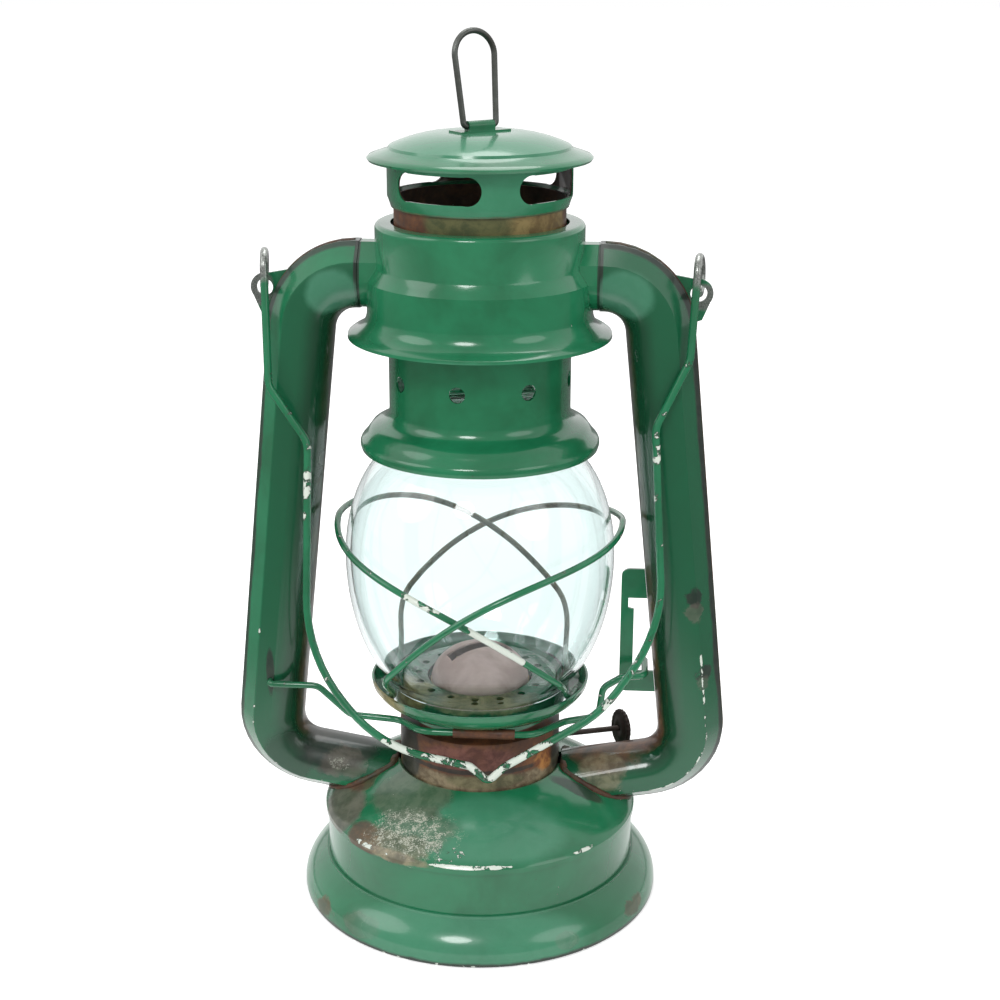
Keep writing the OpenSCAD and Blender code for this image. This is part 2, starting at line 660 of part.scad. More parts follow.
// lift ring on its folded lug
ring_wire = 1.8;
hinge_z = crown_z + 1.7;
foot_half = ring_width / 2 - 1.2;
module ring_lug() {
    long = foot_half - ring_wire / 2 - loose;
    foot = [17.2, 6.8, 0.5];
    roll = ring_wire / 2 + 0.6;
    color("SeaGreen") rotate([0, 0, ring_turn]) difference() {
        union() {
            translate([-foot.x / 2, -foot.y / 2, crown_z]) cube(foot);
            translate([-long, -roll, crown_z + 0.2]) cube([2 * long, 2 * roll, hinge_z - crown_z - 0.2]);
            translate([-long, 0, hinge_z]) rotate([0, 90, 0]) cylinder(h = 2 * long, r = roll, $fn = 32);
        }
        translate([-20, 0, hinge_z]) rotate([0, 90, 0]) cylinder(h = 40, d = ring_wire + 2 * running, $fn = 32);
    }
}
module lift_ring() {
    w = ring_width / 2;
    n = 12;
    leg = rounded([[0.1, 0], [foot_half, 0], [w, ring_height - w]], [0, 1.2, 0]);
    m = len(leg) - 1;
    top = arc([0, ring_height - w], w, 0, 180, n);
    path = concat(leg, [for (i = [1:n - 1]) top[i]], [for (i = [0:m]) [-leg[m - i].x, leg[m - i].y]]);
    color("Gray") rotate([0, 0, ring_turn]) translate([0, 0, hinge_z]) rotate([-ring_lean, 0, 0])
        wire([for (p = path) [p.x, 0, p.y]], ring_wire, 10);
}

// spring between the chamber top and the bell shoulder
spring_radius = (chimney_radius + chamber_radius) / 2 - 0.2;
spring_low = bell_top + loose + spring_wire / 2;
spring_high = chamber_top - sheet - loose - spring_wire / 2;
module hood_spring() {
    n = 72;
    gap = (spring_high - spring_low) / spring_coils - spring_wire;
    echo("least gap between spring coils", gap);
    color("LightSteelBlue")
        wire([for (i = [0:n]) let (a = 360 * spring_coils * i / n)
            [spring_radius * cos(a), spring_radius * sin(a), mix(spring_low, spring_high, i / n)]], spring_wire, 6);
}

// bail: loops hang in the ears and turn about the pivot line
eye_radius = 5.4;
eye_yaw = 9;
pivot_line = ear_z + eye_radius;
eye_sweep = 305;
function eye_point(s, a) = [s * (ear_x - eye_radius * sin(eye_yaw) * cos(a)), -eye_radius * cos(eye_yaw) * cos(a),
    eye_radius * sin(a)];
module bail() {
    n = 18;
    y = -eye_radius * cos(eye_yaw);
    x0 = ear_x - eye_radius * sin(eye_yaw);
    left = -bail_half + bail_shift;
    right = bail_half + bail_shift;
    tip = bail_shift + 2.8;
    low = bail_length - 1.6;
    path = [[-x0, 0], [1.5 - x0, 34], [left - 0.4, 51], [left, 74], [left, low], [tip - 4, low - 0.2],
        [tip, bail_length + 1.4], [tip + 4, low - 0.6], [right - 1, low - 4], [right + 1, 86], [right - 1.2, 45],
        [x0 - 1.4, 24], [x0, 0]];
    radii = [0, 7, 9, 60, 44, 2.4, 2, 2.4, 42, 60, 9, 7, 0];
    color("SeaGreen") translate([0, 0, pivot_line]) rotate([-bail_lean, 0, 0])
        wire(concat([for (i = [0:n - 1]) eye_point(-1, eye_sweep * (1 - i / n))],
            rounded([for (p = path) [p.x, y, -p.y]], radii),
            [for (i = [1:n]) eye_point(1, eye_sweep * i / n)]), bail_wire, 8);
}

foot_skirt();
fount_wall();
fount_bottom();
fount_dome();
tank_top();
burner_collar();
filler_neck();
filler_gasket();
filler_cap();
burner_base();
wick_tube();
burner_cone();
wick();
wick_spindle();
thumb_wheel();
globe_plate();
globe_glass();
right_guard();
left_guard();
lift_lever();
lever_sleeve();
lever_bracket();
right_tube();
left_tube();
right_ear();
left_ear();
air_chamber();
globe_bell();
chimney_tube();
hood_wall();
hood_cap();
ring_lug();
lift_ring();
hood_spring();
bail();
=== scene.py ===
import json
import math
import random

import bmesh
import bpy
from mathutils import Euler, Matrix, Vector
from mathutils.bvhtree import BVHTree


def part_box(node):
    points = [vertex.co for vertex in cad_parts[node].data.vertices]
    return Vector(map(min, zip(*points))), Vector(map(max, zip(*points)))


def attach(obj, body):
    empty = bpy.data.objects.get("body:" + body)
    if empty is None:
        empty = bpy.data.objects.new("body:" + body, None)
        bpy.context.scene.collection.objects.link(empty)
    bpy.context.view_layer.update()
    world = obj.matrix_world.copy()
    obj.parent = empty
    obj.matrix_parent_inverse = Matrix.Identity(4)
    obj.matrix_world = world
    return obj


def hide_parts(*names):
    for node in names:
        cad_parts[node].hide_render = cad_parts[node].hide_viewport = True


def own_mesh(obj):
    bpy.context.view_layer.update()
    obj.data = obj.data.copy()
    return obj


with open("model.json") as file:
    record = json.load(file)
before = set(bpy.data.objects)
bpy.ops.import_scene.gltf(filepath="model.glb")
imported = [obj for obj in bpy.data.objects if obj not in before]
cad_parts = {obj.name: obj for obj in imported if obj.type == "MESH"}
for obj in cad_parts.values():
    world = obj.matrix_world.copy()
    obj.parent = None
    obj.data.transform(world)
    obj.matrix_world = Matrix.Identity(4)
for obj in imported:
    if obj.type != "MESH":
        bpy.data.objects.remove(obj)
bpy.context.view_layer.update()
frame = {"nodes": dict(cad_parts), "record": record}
nodes = frame["nodes"]
scene = bpy.context.scene
mm = 0.001

# camera of the photograph: long lens, a little above the globe, slightly to the right
cameraSetup = {
    "distance": 525 * mm,      # level distance to the lamp axis
    "height": 302.3 * mm,
    "azimuth": 4.5,            # degrees to the right of the front
    "pitch": 18.12,            # degrees down
    "focalPixels": 1780,       # on a frame 1000 pixels wide
    "shift": 0.02,             # the axis stands a little left of the middle
}


def addCamera(setup):
    turn = math.radians(setup["azimuth"])
    data = bpy.data.cameras.new("photoCamera")
    data.sensor_width = 36
    data.lens = 36 * setup["focalPixels"] / 1000
    data.shift_x = setup["shift"]
    data.clip_start = 0.01
    camera = bpy.data.objects.new("photoCamera", data)
    away = setup["distance"]
    camera.location = (away * math.sin(turn), -away * math.cos(turn), setup["height"])
    camera.rotation_euler = Euler((math.radians(90 - setup["pitch"]), 0, turn))
    scene.collection.objects.link(camera)
    scene.camera = camera


addCamera(cameraSetup)
print("camera placed")


# small tools for node trees
def addNode(tree, kind, **settings):
    node = tree.nodes.new(kind)
    for key, value in settings.items():
        setattr(node, key, value)
    return node


def feed(tree, socket, value):
    if isinstance(value, bpy.types.NodeSocket):
        tree.links.new(value, socket)
    else:
        socket.default_value = value


def maths(tree, operation, a, b=0.0, clamp=False):
    node = addNode(tree, "ShaderNodeMath", operation=operation, use_clamp=clamp)
    feed(tree, node.inputs[0], a)
    feed(tree, node.inputs[1], b)
    return node.outputs[0]


def times(tree, a, b):
    return maths(tree, "MULTIPLY", a, b)


def plus(tree, a, b):
    return maths(tree, "ADD", a, b)


def minus(tree, a, b, clamp=False):
    return maths(tree, "SUBTRACT", a, b, clamp)


def splitPlace(tree, place):
    node = addNode(tree, "ShaderNodeSeparateXYZ")
    tree.links.new(place, node.inputs[0])
    return node.outputs


def vectorLength(tree, place):
    node = addNode(tree, "ShaderNodeVectorMath", operation="LENGTH")
    tree.links.new(place, node.inputs[0])
    return node.outputs["Value"]


def blendColor(tree, factor, a, b):
    node = addNode(tree, "ShaderNodeMix", data_type="RGBA", blend_type="MIX")
    feed(tree, node.inputs["Factor"], factor)
    feed(tree, node.inputs["A"], a)
    feed(tree, node.inputs["B"], b)
    return node.outputs["Result"]


def blendValue(tree, factor, a, b):
    node = addNode(tree, "ShaderNodeMix", data_type="FLOAT")
    feed(tree, node.inputs["Factor"], factor)
    feed(tree, node.inputs["A"], a)
    feed(tree, node.inputs["B"], b)
    return node.outputs["Result"]


def spread(tree, value, low, high, toLow=0.0, toHigh=1.0, smooth=True):
    node = addNode(tree, "ShaderNodeMapRange", clamp=True)
    node.interpolation_type = "SMOOTHSTEP" if smooth else "LINEAR"
    for socket, number in zip(node.inputs, (value, low, high, toLow, toHigh)):
        feed(tree, socket, number)
    return node.outputs["Result"]


def noise(tree, place, scale, detail=5.0, rough=0.6, distortion=0.0):
    node = addNode(tree, "ShaderNodeTexNoise")
    feed(tree, node.inputs["Vector"], place)
    feed(tree, node.inputs["Scale"], scale)
    node.inputs["Detail"].default_value = detail
    node.inputs["Roughness"].default_value = rough
    node.inputs["Distortion"].default_value = distortion
    return node.outputs["Fac"]


def ramp(tree, value, stops):
    node = addNode(tree, "ShaderNodeValToRGB")
    feed(tree, node.inputs["Fac"], value)
    elements = node.color_ramp.elements
    while len(elements) < len(stops):
        elements.new(0.5)
    for element, (position, color) in zip(elements, stops):
        element.position = position
        element.color = (*color, 1.0)
    return node.outputs["Color"]


def newGroup(name, inputs, outputs):
    tree = bpy.data.node_groups.new(name, "ShaderNodeTree")
    for label, kind, default in inputs:
        socket = tree.interface.new_socket(name=label, in_out="INPUT", socket_type=kind)
        if default is not None:
            socket.default_value = default
    for label, kind in outputs:
        tree.interface.new_socket(name=label, in_out="OUTPUT", socket_type=kind)
    return tree, addNode(tree, "NodeGroupInput").outputs, addNode(tree, "NodeGroupOutput").inputs


def useGroup(tree, group, **values):
    node = addNode(tree, "ShaderNodeGroup", node_tree=group)
    for label, value in values.items():
        feed(tree, node.inputs[label], value)
    return node.outputs


number = "NodeSocketFloat"
vector = "NodeSocketVector"
color = "NodeSocketColor"


# flakes of paint that have come off, with a thin rim round each
def makeFlakes():
    tree, given, out = newGroup(
        "paintFlakes",
        [("Place", vector, None), ("Scale", number, 300.0), ("Amount", number, 0.3)],
        [("Bare", number), ("Rim", number)])
    cloud = noise(tree, given["Place"], given["Scale"], 6, 0.68, 0.5)
    cells = addNode(tree, "ShaderNodeTexVoronoi")
    tree.links.new(given["Place"], cells.inputs["Vector"])
    feed(tree, cells.inputs["Scale"], times(tree, given["Scale"], 1.6))
    height = plus(tree, cloud, times(tree, cells.outputs["Distance"], 0.16))
    limit = minus(tree, 0.90, times(tree, given["Amount"], 0.42))
    feed(tree, out["Bare"], spread(tree, height, limit, plus(tree, limit, 0.018)))
    feed(tree, out["Rim"], spread(tree, height, minus(tree, limit, 0.05), limit))
    return tree


# rust from nearly black through brown to orange, with its own grain: place on the ramp and colour
rustShades = {
    "dark": [(0.30, (0.016, 0.009, 0.006)), (0.48, (0.060, 0.026, 0.014)),
             (0.62, (0.105, 0.046, 0.022)), (0.75, (0.160, 0.092, 0.050))],
    "warm": [(0.30, (0.050, 0.016, 0.007)), (0.50, (0.170, 0.055, 0.016)),
             (0.62, (0.330, 0.115, 0.028)), (0.75, (0.420, 0.230, 0.090))],
}


def makeRust():
    tree, given, out = newGroup(
        "rustBloom",
        [("Place", vector, None), ("Scale", number, 120.0), ("Orange", number, 0.5)],
        [("Color", color), ("Grain", number)])
    cloud = noise(tree, given["Place"], given["Scale"], 7, 0.66, 0.6)
    fine = noise(tree, given["Place"], times(tree, given["Scale"], 7.0), 4, 0.7)
    mixed = plus(tree, times(tree, cloud, 0.75), times(tree, fine, 0.25))
    dark = ramp(tree, mixed, rustShades["dark"])
    warm = ramp(tree, mixed, rustShades["warm"])
    feed(tree, out["Color"], blendColor(tree, given["Orange"], dark, warm))
    feed(tree, out["Grain"], mixed)
    return tree


# a patch round a point, with a ragged edge
def makePatch():
    tree, given, out = newGroup(
        "raggedPatch",
        [("Place", vector, None), ("Centre", vector, None), ("Reach", vector, None),
         ("Ragged", number, 0.5), ("Scale", number, 90.0)],
        [("Mask", number)])
    offset = addNode(tree, "ShaderNodeVectorMath", operation="SUBTRACT")
    tree.links.new(given["Place"], offset.inputs[0])
    tree.links.new(given["Centre"], offset.inputs[1])
    scaled = addNode(tree, "ShaderNodeVectorMath", operation="DIVIDE")
    tree.links.new(offset.outputs[0], scaled.inputs[0])
    tree.links.new(given["Reach"], scaled.inputs[1])
    torn = minus(tree, noise(tree, given["Place"], given["Scale"], 5, 0.62, 0.3), 0.5)
    edge = plus(tree, vectorLength(tree, scaled.outputs[0]), times(tree, torn, given["Ragged"]))
    feed(tree, out["Mask"], spread(tree, edge, 1.05, 0.72))
    return tree


# slow clouding of a polished surface, with the faint ripple of thick paint
def makeClouding():
    tree, given, out = newGroup(
        "clouding",
        [("Place", vector, None), ("Scale", number, 40.0)],
        [("Cloud", number), ("Ripple", number), ("Speck", number)])
    feed(tree, out["Cloud"], noise(tree, given["Place"], given["Scale"], 4, 0.6, 0.4))
    rippleScale = times(tree, given["Scale"], 14.0)
    feed(tree, out["Ripple"], noise(tree, given["Place"], rippleScale, 2, 0.5))
    speckScale = times(tree, given["Scale"], 22.0)
    feed(tree, out["Speck"], spread(tree, noise(tree, given["Place"], speckScale, 3, 0.75), 0.68, 0.74))
    return tree


# middle line of a side tube, in millimetres and degrees
tubeLine = {
    "topCentre": (37.2, 184.26), "topBend": 16.8,
    "lowCentre": (51.37, 57.13), "lowBend": 16.0,
    "legTop": (53.91, 186.02), "lean": 6.0,
    "half": 10.3, "endHalf": 8.7,      # half the tube's width, and at its low end
    "topTurn": 90, "lowTurn": -80,     # where the bends begin and end
    "crease": 4.9,
}


# how far a point lies outside that line, in metres
def makeTubeOffset():
    tree, given, out = newGroup("tubeOffset", [("Place", vector, None)], [("Offset", number)])
    parts = splitPlace(tree, given["Place"])
    across = maths(tree, "ABSOLUTE", parts["X"])
    up = parts["Z"]

    def roundBend(centre, radius):
        dx = maths(tree, "MAXIMUM", minus(tree, across, centre[0] * mm), 0.0)
        dz = minus(tree, up, centre[1] * mm)
        squares = plus(tree, times(tree, dx, dx), times(tree, dz, dz))
        return minus(tree, maths(tree, "SQRT", squares), radius * mm)

    lean = math.radians(tubeLine["lean"])
    legX, legZ = tubeLine["legTop"]
    drop = minus(tree, legZ * mm, up)
    middle = plus(tree, legX * mm, times(tree, drop, math.tan(lean)))
    leg = times(tree, minus(tree, across, middle), math.cos(lean))
    above = maths(tree, "GREATER_THAN", up, tubeLine["topCentre"][1] * mm)
    below = maths(tree, "LESS_THAN", up, tubeLine["lowCentre"][1] * mm)
    line = blendValue(tree, above, leg, roundBend(tubeLine["topCentre"], tubeLine["topBend"]))
    low = roundBend(tubeLine["lowCentre"], tubeLine["lowBend"])
    # the marks keep to the outline where the tube gets thinner
    lowTop = tubeLine["lowCentre"][1]
    lowEnd = lowTop - tubeLine["lowBend"]
    thinner = spread(tree, up, lowTop * mm, lowEnd * mm, 1.0, tubeLine["half"] / tubeLine["endHalf"])
    feed(tree, out["Offset"], blendValue(tree, below, line, times(tree, low, thinner)))
    return tree


flakes = makeFlakes()
rust = makeRust()
patch = makePatch()
clouding = makeClouding()
tubeOffset = makeTubeOffset()
print("shared finishes ready")


def newMaterial(name):
    material = bpy.data.materials.new(name)
    material.use_nodes = True
    tree = material.node_tree
    shader = tree.nodes["Principled BSDF"]
    place = addNode(tree, "ShaderNodeTexCoord").outputs["Object"]
    return material, tree, shader, place


def addBump(tree, shader, height, strength, distance):
    bump = addNode(tree, "ShaderNodeBump")
    bump.inputs["Strength"].default_value = strength
    bump.inputs["Distance"].default_value = distance
    feed(tree, bump.inputs["Height"], height)
    tree.links.new(bump.outputs["Normal"], shader.inputs["Normal"])


enamelLook = {
    "green": (0.014, 0.180, 0.078),
    "deep": (0.008, 0.125, 0.050),
    # painted shade for the side tubes: a darker green for their front and inner side, and a darker one
    # still toward the inner edge
    "flankShade": (0.008, 0.092, 0.040),
    "innerShade": (0.005, 0.044, 0.018),
    "chip": (0.66, 0.72, 0.64),
    "primer": (0.030, 0.050, 0.032),
    "rough": 0.17,
}
# a darker and a lighter shade of everything that can lie on the paint, and of a painted highlight, and how
# dull it is
marks = {
    "soot": ((0.006, 0.012, 0.009), (0.018, 0.024, 0.017), 0.40),
    "stain": ((0.055, 0.085, 0.048), (0.120, 0.150, 0.098), 0.36),
    "murk": ((0.075, 0.060, 0.045), (0.150, 0.128, 0.100), 0.45),
    "tan": ((0.105, 0.080, 0.042), (0.300, 0.245, 0.145), 0.60),
    "olive": ((0.050, 0.070, 0.022), (0.120, 0.125, 0.042), 0.50),
    "ochre": ((0.130, 0.085, 0.024), (0.280, 0.200, 0.070), 0.55),
    # the plate's straw stain, made paler than it is as painted light where the globe keeps the lamps off
    "strawStainAndLight": ((0.240, 0.195, 0.070), (0.480, 0.420, 0.200), 0.55),
    "orange": ((0.150, 0.045, 0.012), (0.450, 0.190, 0.045), 0.65),
    "crust": ((0.210, 0.200, 0.140), (0.560, 0.590, 0.490), 0.70),
    "zinc": ((0.200, 0.200, 0.190), (0.500, 0.510, 0.490), 0.36),
    "redRust": ((0.070, 0.020, 0.016), (0.190, 0.070, 0.052), 0.60),
    # a painted highlight: paler green where light falls on the paint
    "paintedHighlight": ((0.085, 0.290, 0.180), (0.098, 0.312, 0.198), 0.24),
}


# bands along a side tube, from and to, in millimetres outside its middle line
tubeBands = {
    # the first two bands say where the painted shade on a side tube begins and ends
    "flankShade": (5.3, 4.3), "innerShade": (-0.5, -7.0), "line": (8.6, 9.4), "rim": (-7.6, -9.4),
    "wander": 2.4,             # how far the ragged ones stray
    "creaseWidth": (0.55, 0.2),
    "creaseHeight": (104, 84),     # the crease is chipped below this height
    "rimHeight": (150, 60),    # the rim rusts more toward the foot
    "rimAbove": 0.35,
}
grainScale = {"grit": 2100.0, "clump": 520.0, "mottle": 210.0, "cloud": 34.0, "rust": 150.0}


def band(key):
    return [limit * mm for limit in tubeBands[key]]


# glossy enamel, or rust where base says so: patches are (mark, centre, reach, ragged, scale, weight) in
# millimetres, tube gives how strongly the painted shade and the marks along a side tube show, and inside is
# the radius and the height from which a shell is sooty on its inner face
def enamel(name, flakeScale=260.0, flakeAmount=0.12, patches=(), tube=None, base="paint", inside=None):
    look = enamelLook
    material, tree, shader, place = newMaterial(name)
    soft = useGroup(tree, clouding, Place=place, Scale=grainScale["cloud"])
    bloom = useGroup(tree, rust, Place=place, Scale=grainScale["rust"], Orange=0.30)
    grit = noise(tree, place, grainScale["grit"], 4, 0.75)
    clump = noise(tree, place, grainScale["clump"], 4, 0.65)
    mottle = noise(tree, place, grainScale["mottle"], 5, 0.65, 0.4)
    speckle = plus(tree, times(tree, grit, 0.55), times(tree, clump, 0.45))
    speck = spread(tree, speckle, 0.49, 0.57)
    if base == "rust":
        paint = bloom["Color"]
        rough = spread(tree, bloom["Grain"], 0.3, 0.7, 0.42, 0.75)
        height = times(tree, bloom["Grain"], 0.8)
    else:
        cloud = spread(tree, soft["Cloud"], 0.35, 0.70)
        paint = blendColor(tree, cloud, (*look["green"], 1), (*look["deep"], 1))
        rough = spread(tree, soft["Cloud"], 0.3, 0.75, look["rough"], look["rough"] + 0.08)
        height = times(tree, soft["Ripple"], 0.12)
    metal = 0.0
    amount = flakeAmount
    parts = splitPlace(tree, place)

    def tone(mark):
        darker, lighter = marks[mark][:2]
        factor = spread(tree, grit if mark in ("crust", "zinc") else mottle, 0.36, 0.64)
        return blendColor(tree, factor, (*darker, 1), (*lighter, 1))

    if tube:
        offset = useGroup(tree, tubeOffset, Place=place)["Offset"]
        stray = times(tree, minus(tree, soft["Cloud"], 0.5), tubeBands["wander"] * mm)
        strayed = plus(tree, offset, stray)
        # painted shade: a side tube darker on its front and inner side, on the right tube on the outer
        # chamfer too, and darker still toward the inner edge
        flankShade = spread(tree, offset, *band("flankShade"), tube["edge"], tube["flankShade"])
        paint = blendColor(tree, flankShade, paint, (*look["flankShade"], 1))
        innerShade = times(tree, spread(tree, strayed, *band("innerShade")), tube["innerShade"])
        paint = blendColor(tree, innerShade, paint, (*look["innerShade"], 1))
        line = times(tree, spread(tree, strayed, *band("line")), tube["line"])
        paint = blendColor(tree, line, paint, tone("soot"))
        low = spread(tree, parts["Z"], *band("rimHeight"), tubeBands["rimAbove"], 1.0)
        rim = times(tree, spread(tree, strayed, *band("rim")), low)
        rim = times(tree, rim, tube["rim"])
        paint = blendColor(tree, rim, paint, bloom["Color"])
        rough = blendValue(tree, maths(tree, "MAXIMUM", line, rim), rough, 0.55)
        away = maths(tree, "ABSOLUTE", minus(tree, offset, tubeLine["crease"] * mm))
        crease = times(tree, spread(tree, away, *band("creaseWidth")), tube["crease"])
        crease = times(tree, crease, spread(tree, parts["Z"], *band("creaseHeight")))
        amount = plus(tree, amount, crease)
    for mark, centre, reach, ragged, scale, weight in patches:
        mask = useGroup(tree, patch, Place=place, Centre=Vector(centre) * mm, Reach=Vector(reach) * mm,
                        Ragged=ragged, Scale=scale)["Mask"]
        share = times(tree, mask, weight)
        if mark == "flakes":
            amount = plus(tree, amount, share)
            continue
        if mark == "crust":
            share = times(tree, share, speck)
        if mark == "zinc":
            metal = maths(tree, "MAXIMUM", metal, share)
        paint = blendColor(tree, share, paint, bloom["Color"] if mark == "rust" else tone(mark))
        rough = blendValue(tree, share, rough, 0.62 if mark == "rust" else marks[mark][2])
        lump = times(tree, bloom["Grain"], 0.8)
        height = plus(tree, height, times(tree, share, lump))
    if inside:
        radius, floor = inside
        flat = addNode(tree, "ShaderNodeCombineXYZ")
        tree.links.new(parts["X"], flat.inputs["X"])
        tree.links.new(parts["Y"], flat.inputs["Y"])
        away = vectorLength(tree, flat.outputs[0])
        inner = spread(tree, away, (radius + 0.1) * mm, (radius - 0.1) * mm)
        above = spread(tree, parts["Z"], floor * mm, (floor + 0.6) * mm)
        inner = times(tree, inner, above)
        paint = blendColor(tree, inner, paint, blendColor(tree, 0.5, tone("soot"), bloom["Color"]))
        rough = blendValue(tree, inner, rough, 0.7)
    chips = useGroup(tree, flakes, Place=place, Scale=flakeScale, Amount=amount)
    paint = blendColor(tree, chips["Rim"], paint, (*look["primer"], 1))
    paint = blendColor(tree, chips["Bare"], paint, (*look["chip"], 1))
    rough = blendValue(tree, chips["Bare"], rough, 0.5)
    height = minus(tree, height, times(tree, chips["Bare"], 0.9))
    feed(tree, shader.inputs["Base Color"], paint)
    feed(tree, shader.inputs["Roughness"], rough)
    feed(tree, shader.inputs["Metallic"], metal)
    shader.inputs["Coat Weight"].default_value = 0.1 if base == "rust" else 0.55
    shader.inputs["Coat Roughness"].default_value = 0.08
    addBump(tree, shader, height, 0.22, 0.0004)
    return material


def rustySteel(name, orange=0.4, green=0.0, scale=110.0):
    material, tree, shader, place = newMaterial(name)
    bloom = useGroup(tree, rust, Place=place, Scale=scale, Orange=orange)
    soft = useGroup(tree, clouding, Place=place, Scale=60.0)
    left = times(tree, spread(tree, soft["Cloud"], 0.46, 0.60), green)
    paint = blendColor(tree, left, bloom["Color"], (*enamelLook["deep"], 1))
    feed(tree, shader.inputs["Base Color"], paint)
    feed(tree, shader.inputs["Roughness"], spread(tree, bloom["Grain"], 0.3, 0.7, 0.38, 0.75))
    addBump(tree, shader, bloom["Grain"], 0.45, 0.0004)
    return material


def bareMetal(name, tint, roughness, tarnish=(0.05, 0.04, 0.03), share=0.5, metallic=1.0):
    material, tree, shader, place = newMaterial(name)
    soft = useGroup(tree, clouding, Place=place, Scale=75.0)
    bloom = useGroup(tree, rust, Place=place, Scale=170.0, Orange=0.35)
    dull = times(tree, spread(tree, soft["Cloud"], 0.40, 0.68), share)
    paint = blendColor(tree, dull, (*tint, 1), (*tarnish, 1))
    spots = times(tree, soft["Speck"], 0.7)
    feed(tree, shader.inputs["Base Color"], blendColor(tree, spots, paint, bloom["Color"]))
    rusted = times(tree, spots, metallic)
    feed(tree, shader.inputs["Metallic"], minus(tree, metallic, rusted))
    dullness = spread(tree, soft["Cloud"], 0.3, 0.7, roughness, roughness + 0.22)
    feed(tree, shader.inputs["Roughness"], dullness)
    addBump(tree, shader, soft["Ripple"], 0.12, 0.0003)
    return material


def clearGlass(name):
    material, tree, shader, place = newMaterial(name)
    soft = useGroup(tree, clouding, Place=place, Scale=16.0)
    feed(tree, shader.inputs["Base Color"],
         blendColor(tree, soft["Cloud"], (0.902, 0.988, 0.981, 1), (0.925, 0.994, 0.990, 1)))
    feed(tree, shader.inputs["Roughness"], spread(tree, soft["Cloud"], 0.45, 0.75, 0.0, 0.02))
    shader.inputs["IOR"].default_value = 1.46
    shader.inputs["Transmission Weight"].default_value = 1.0
    addBump(tree, shader, soft["Cloud"], 0.02, 0.0005)
    return material


def rubber(name):
    material, tree, shader, place = newMaterial(name)
    soft = useGroup(tree, clouding, Place=place, Scale=140.0)
    black = blendColor(tree, soft["Cloud"], (0.010, 0.010, 0.010, 1), (0.03, 0.03, 0.028, 1))
    feed(tree, shader.inputs["Base Color"], black)
    feed(tree, shader.inputs["Roughness"], spread(tree, soft["Cloud"], 0.3, 0.7, 0.6, 0.85))
    addBump(tree, shader, soft["Ripple"], 0.3, 0.0003)
    return material
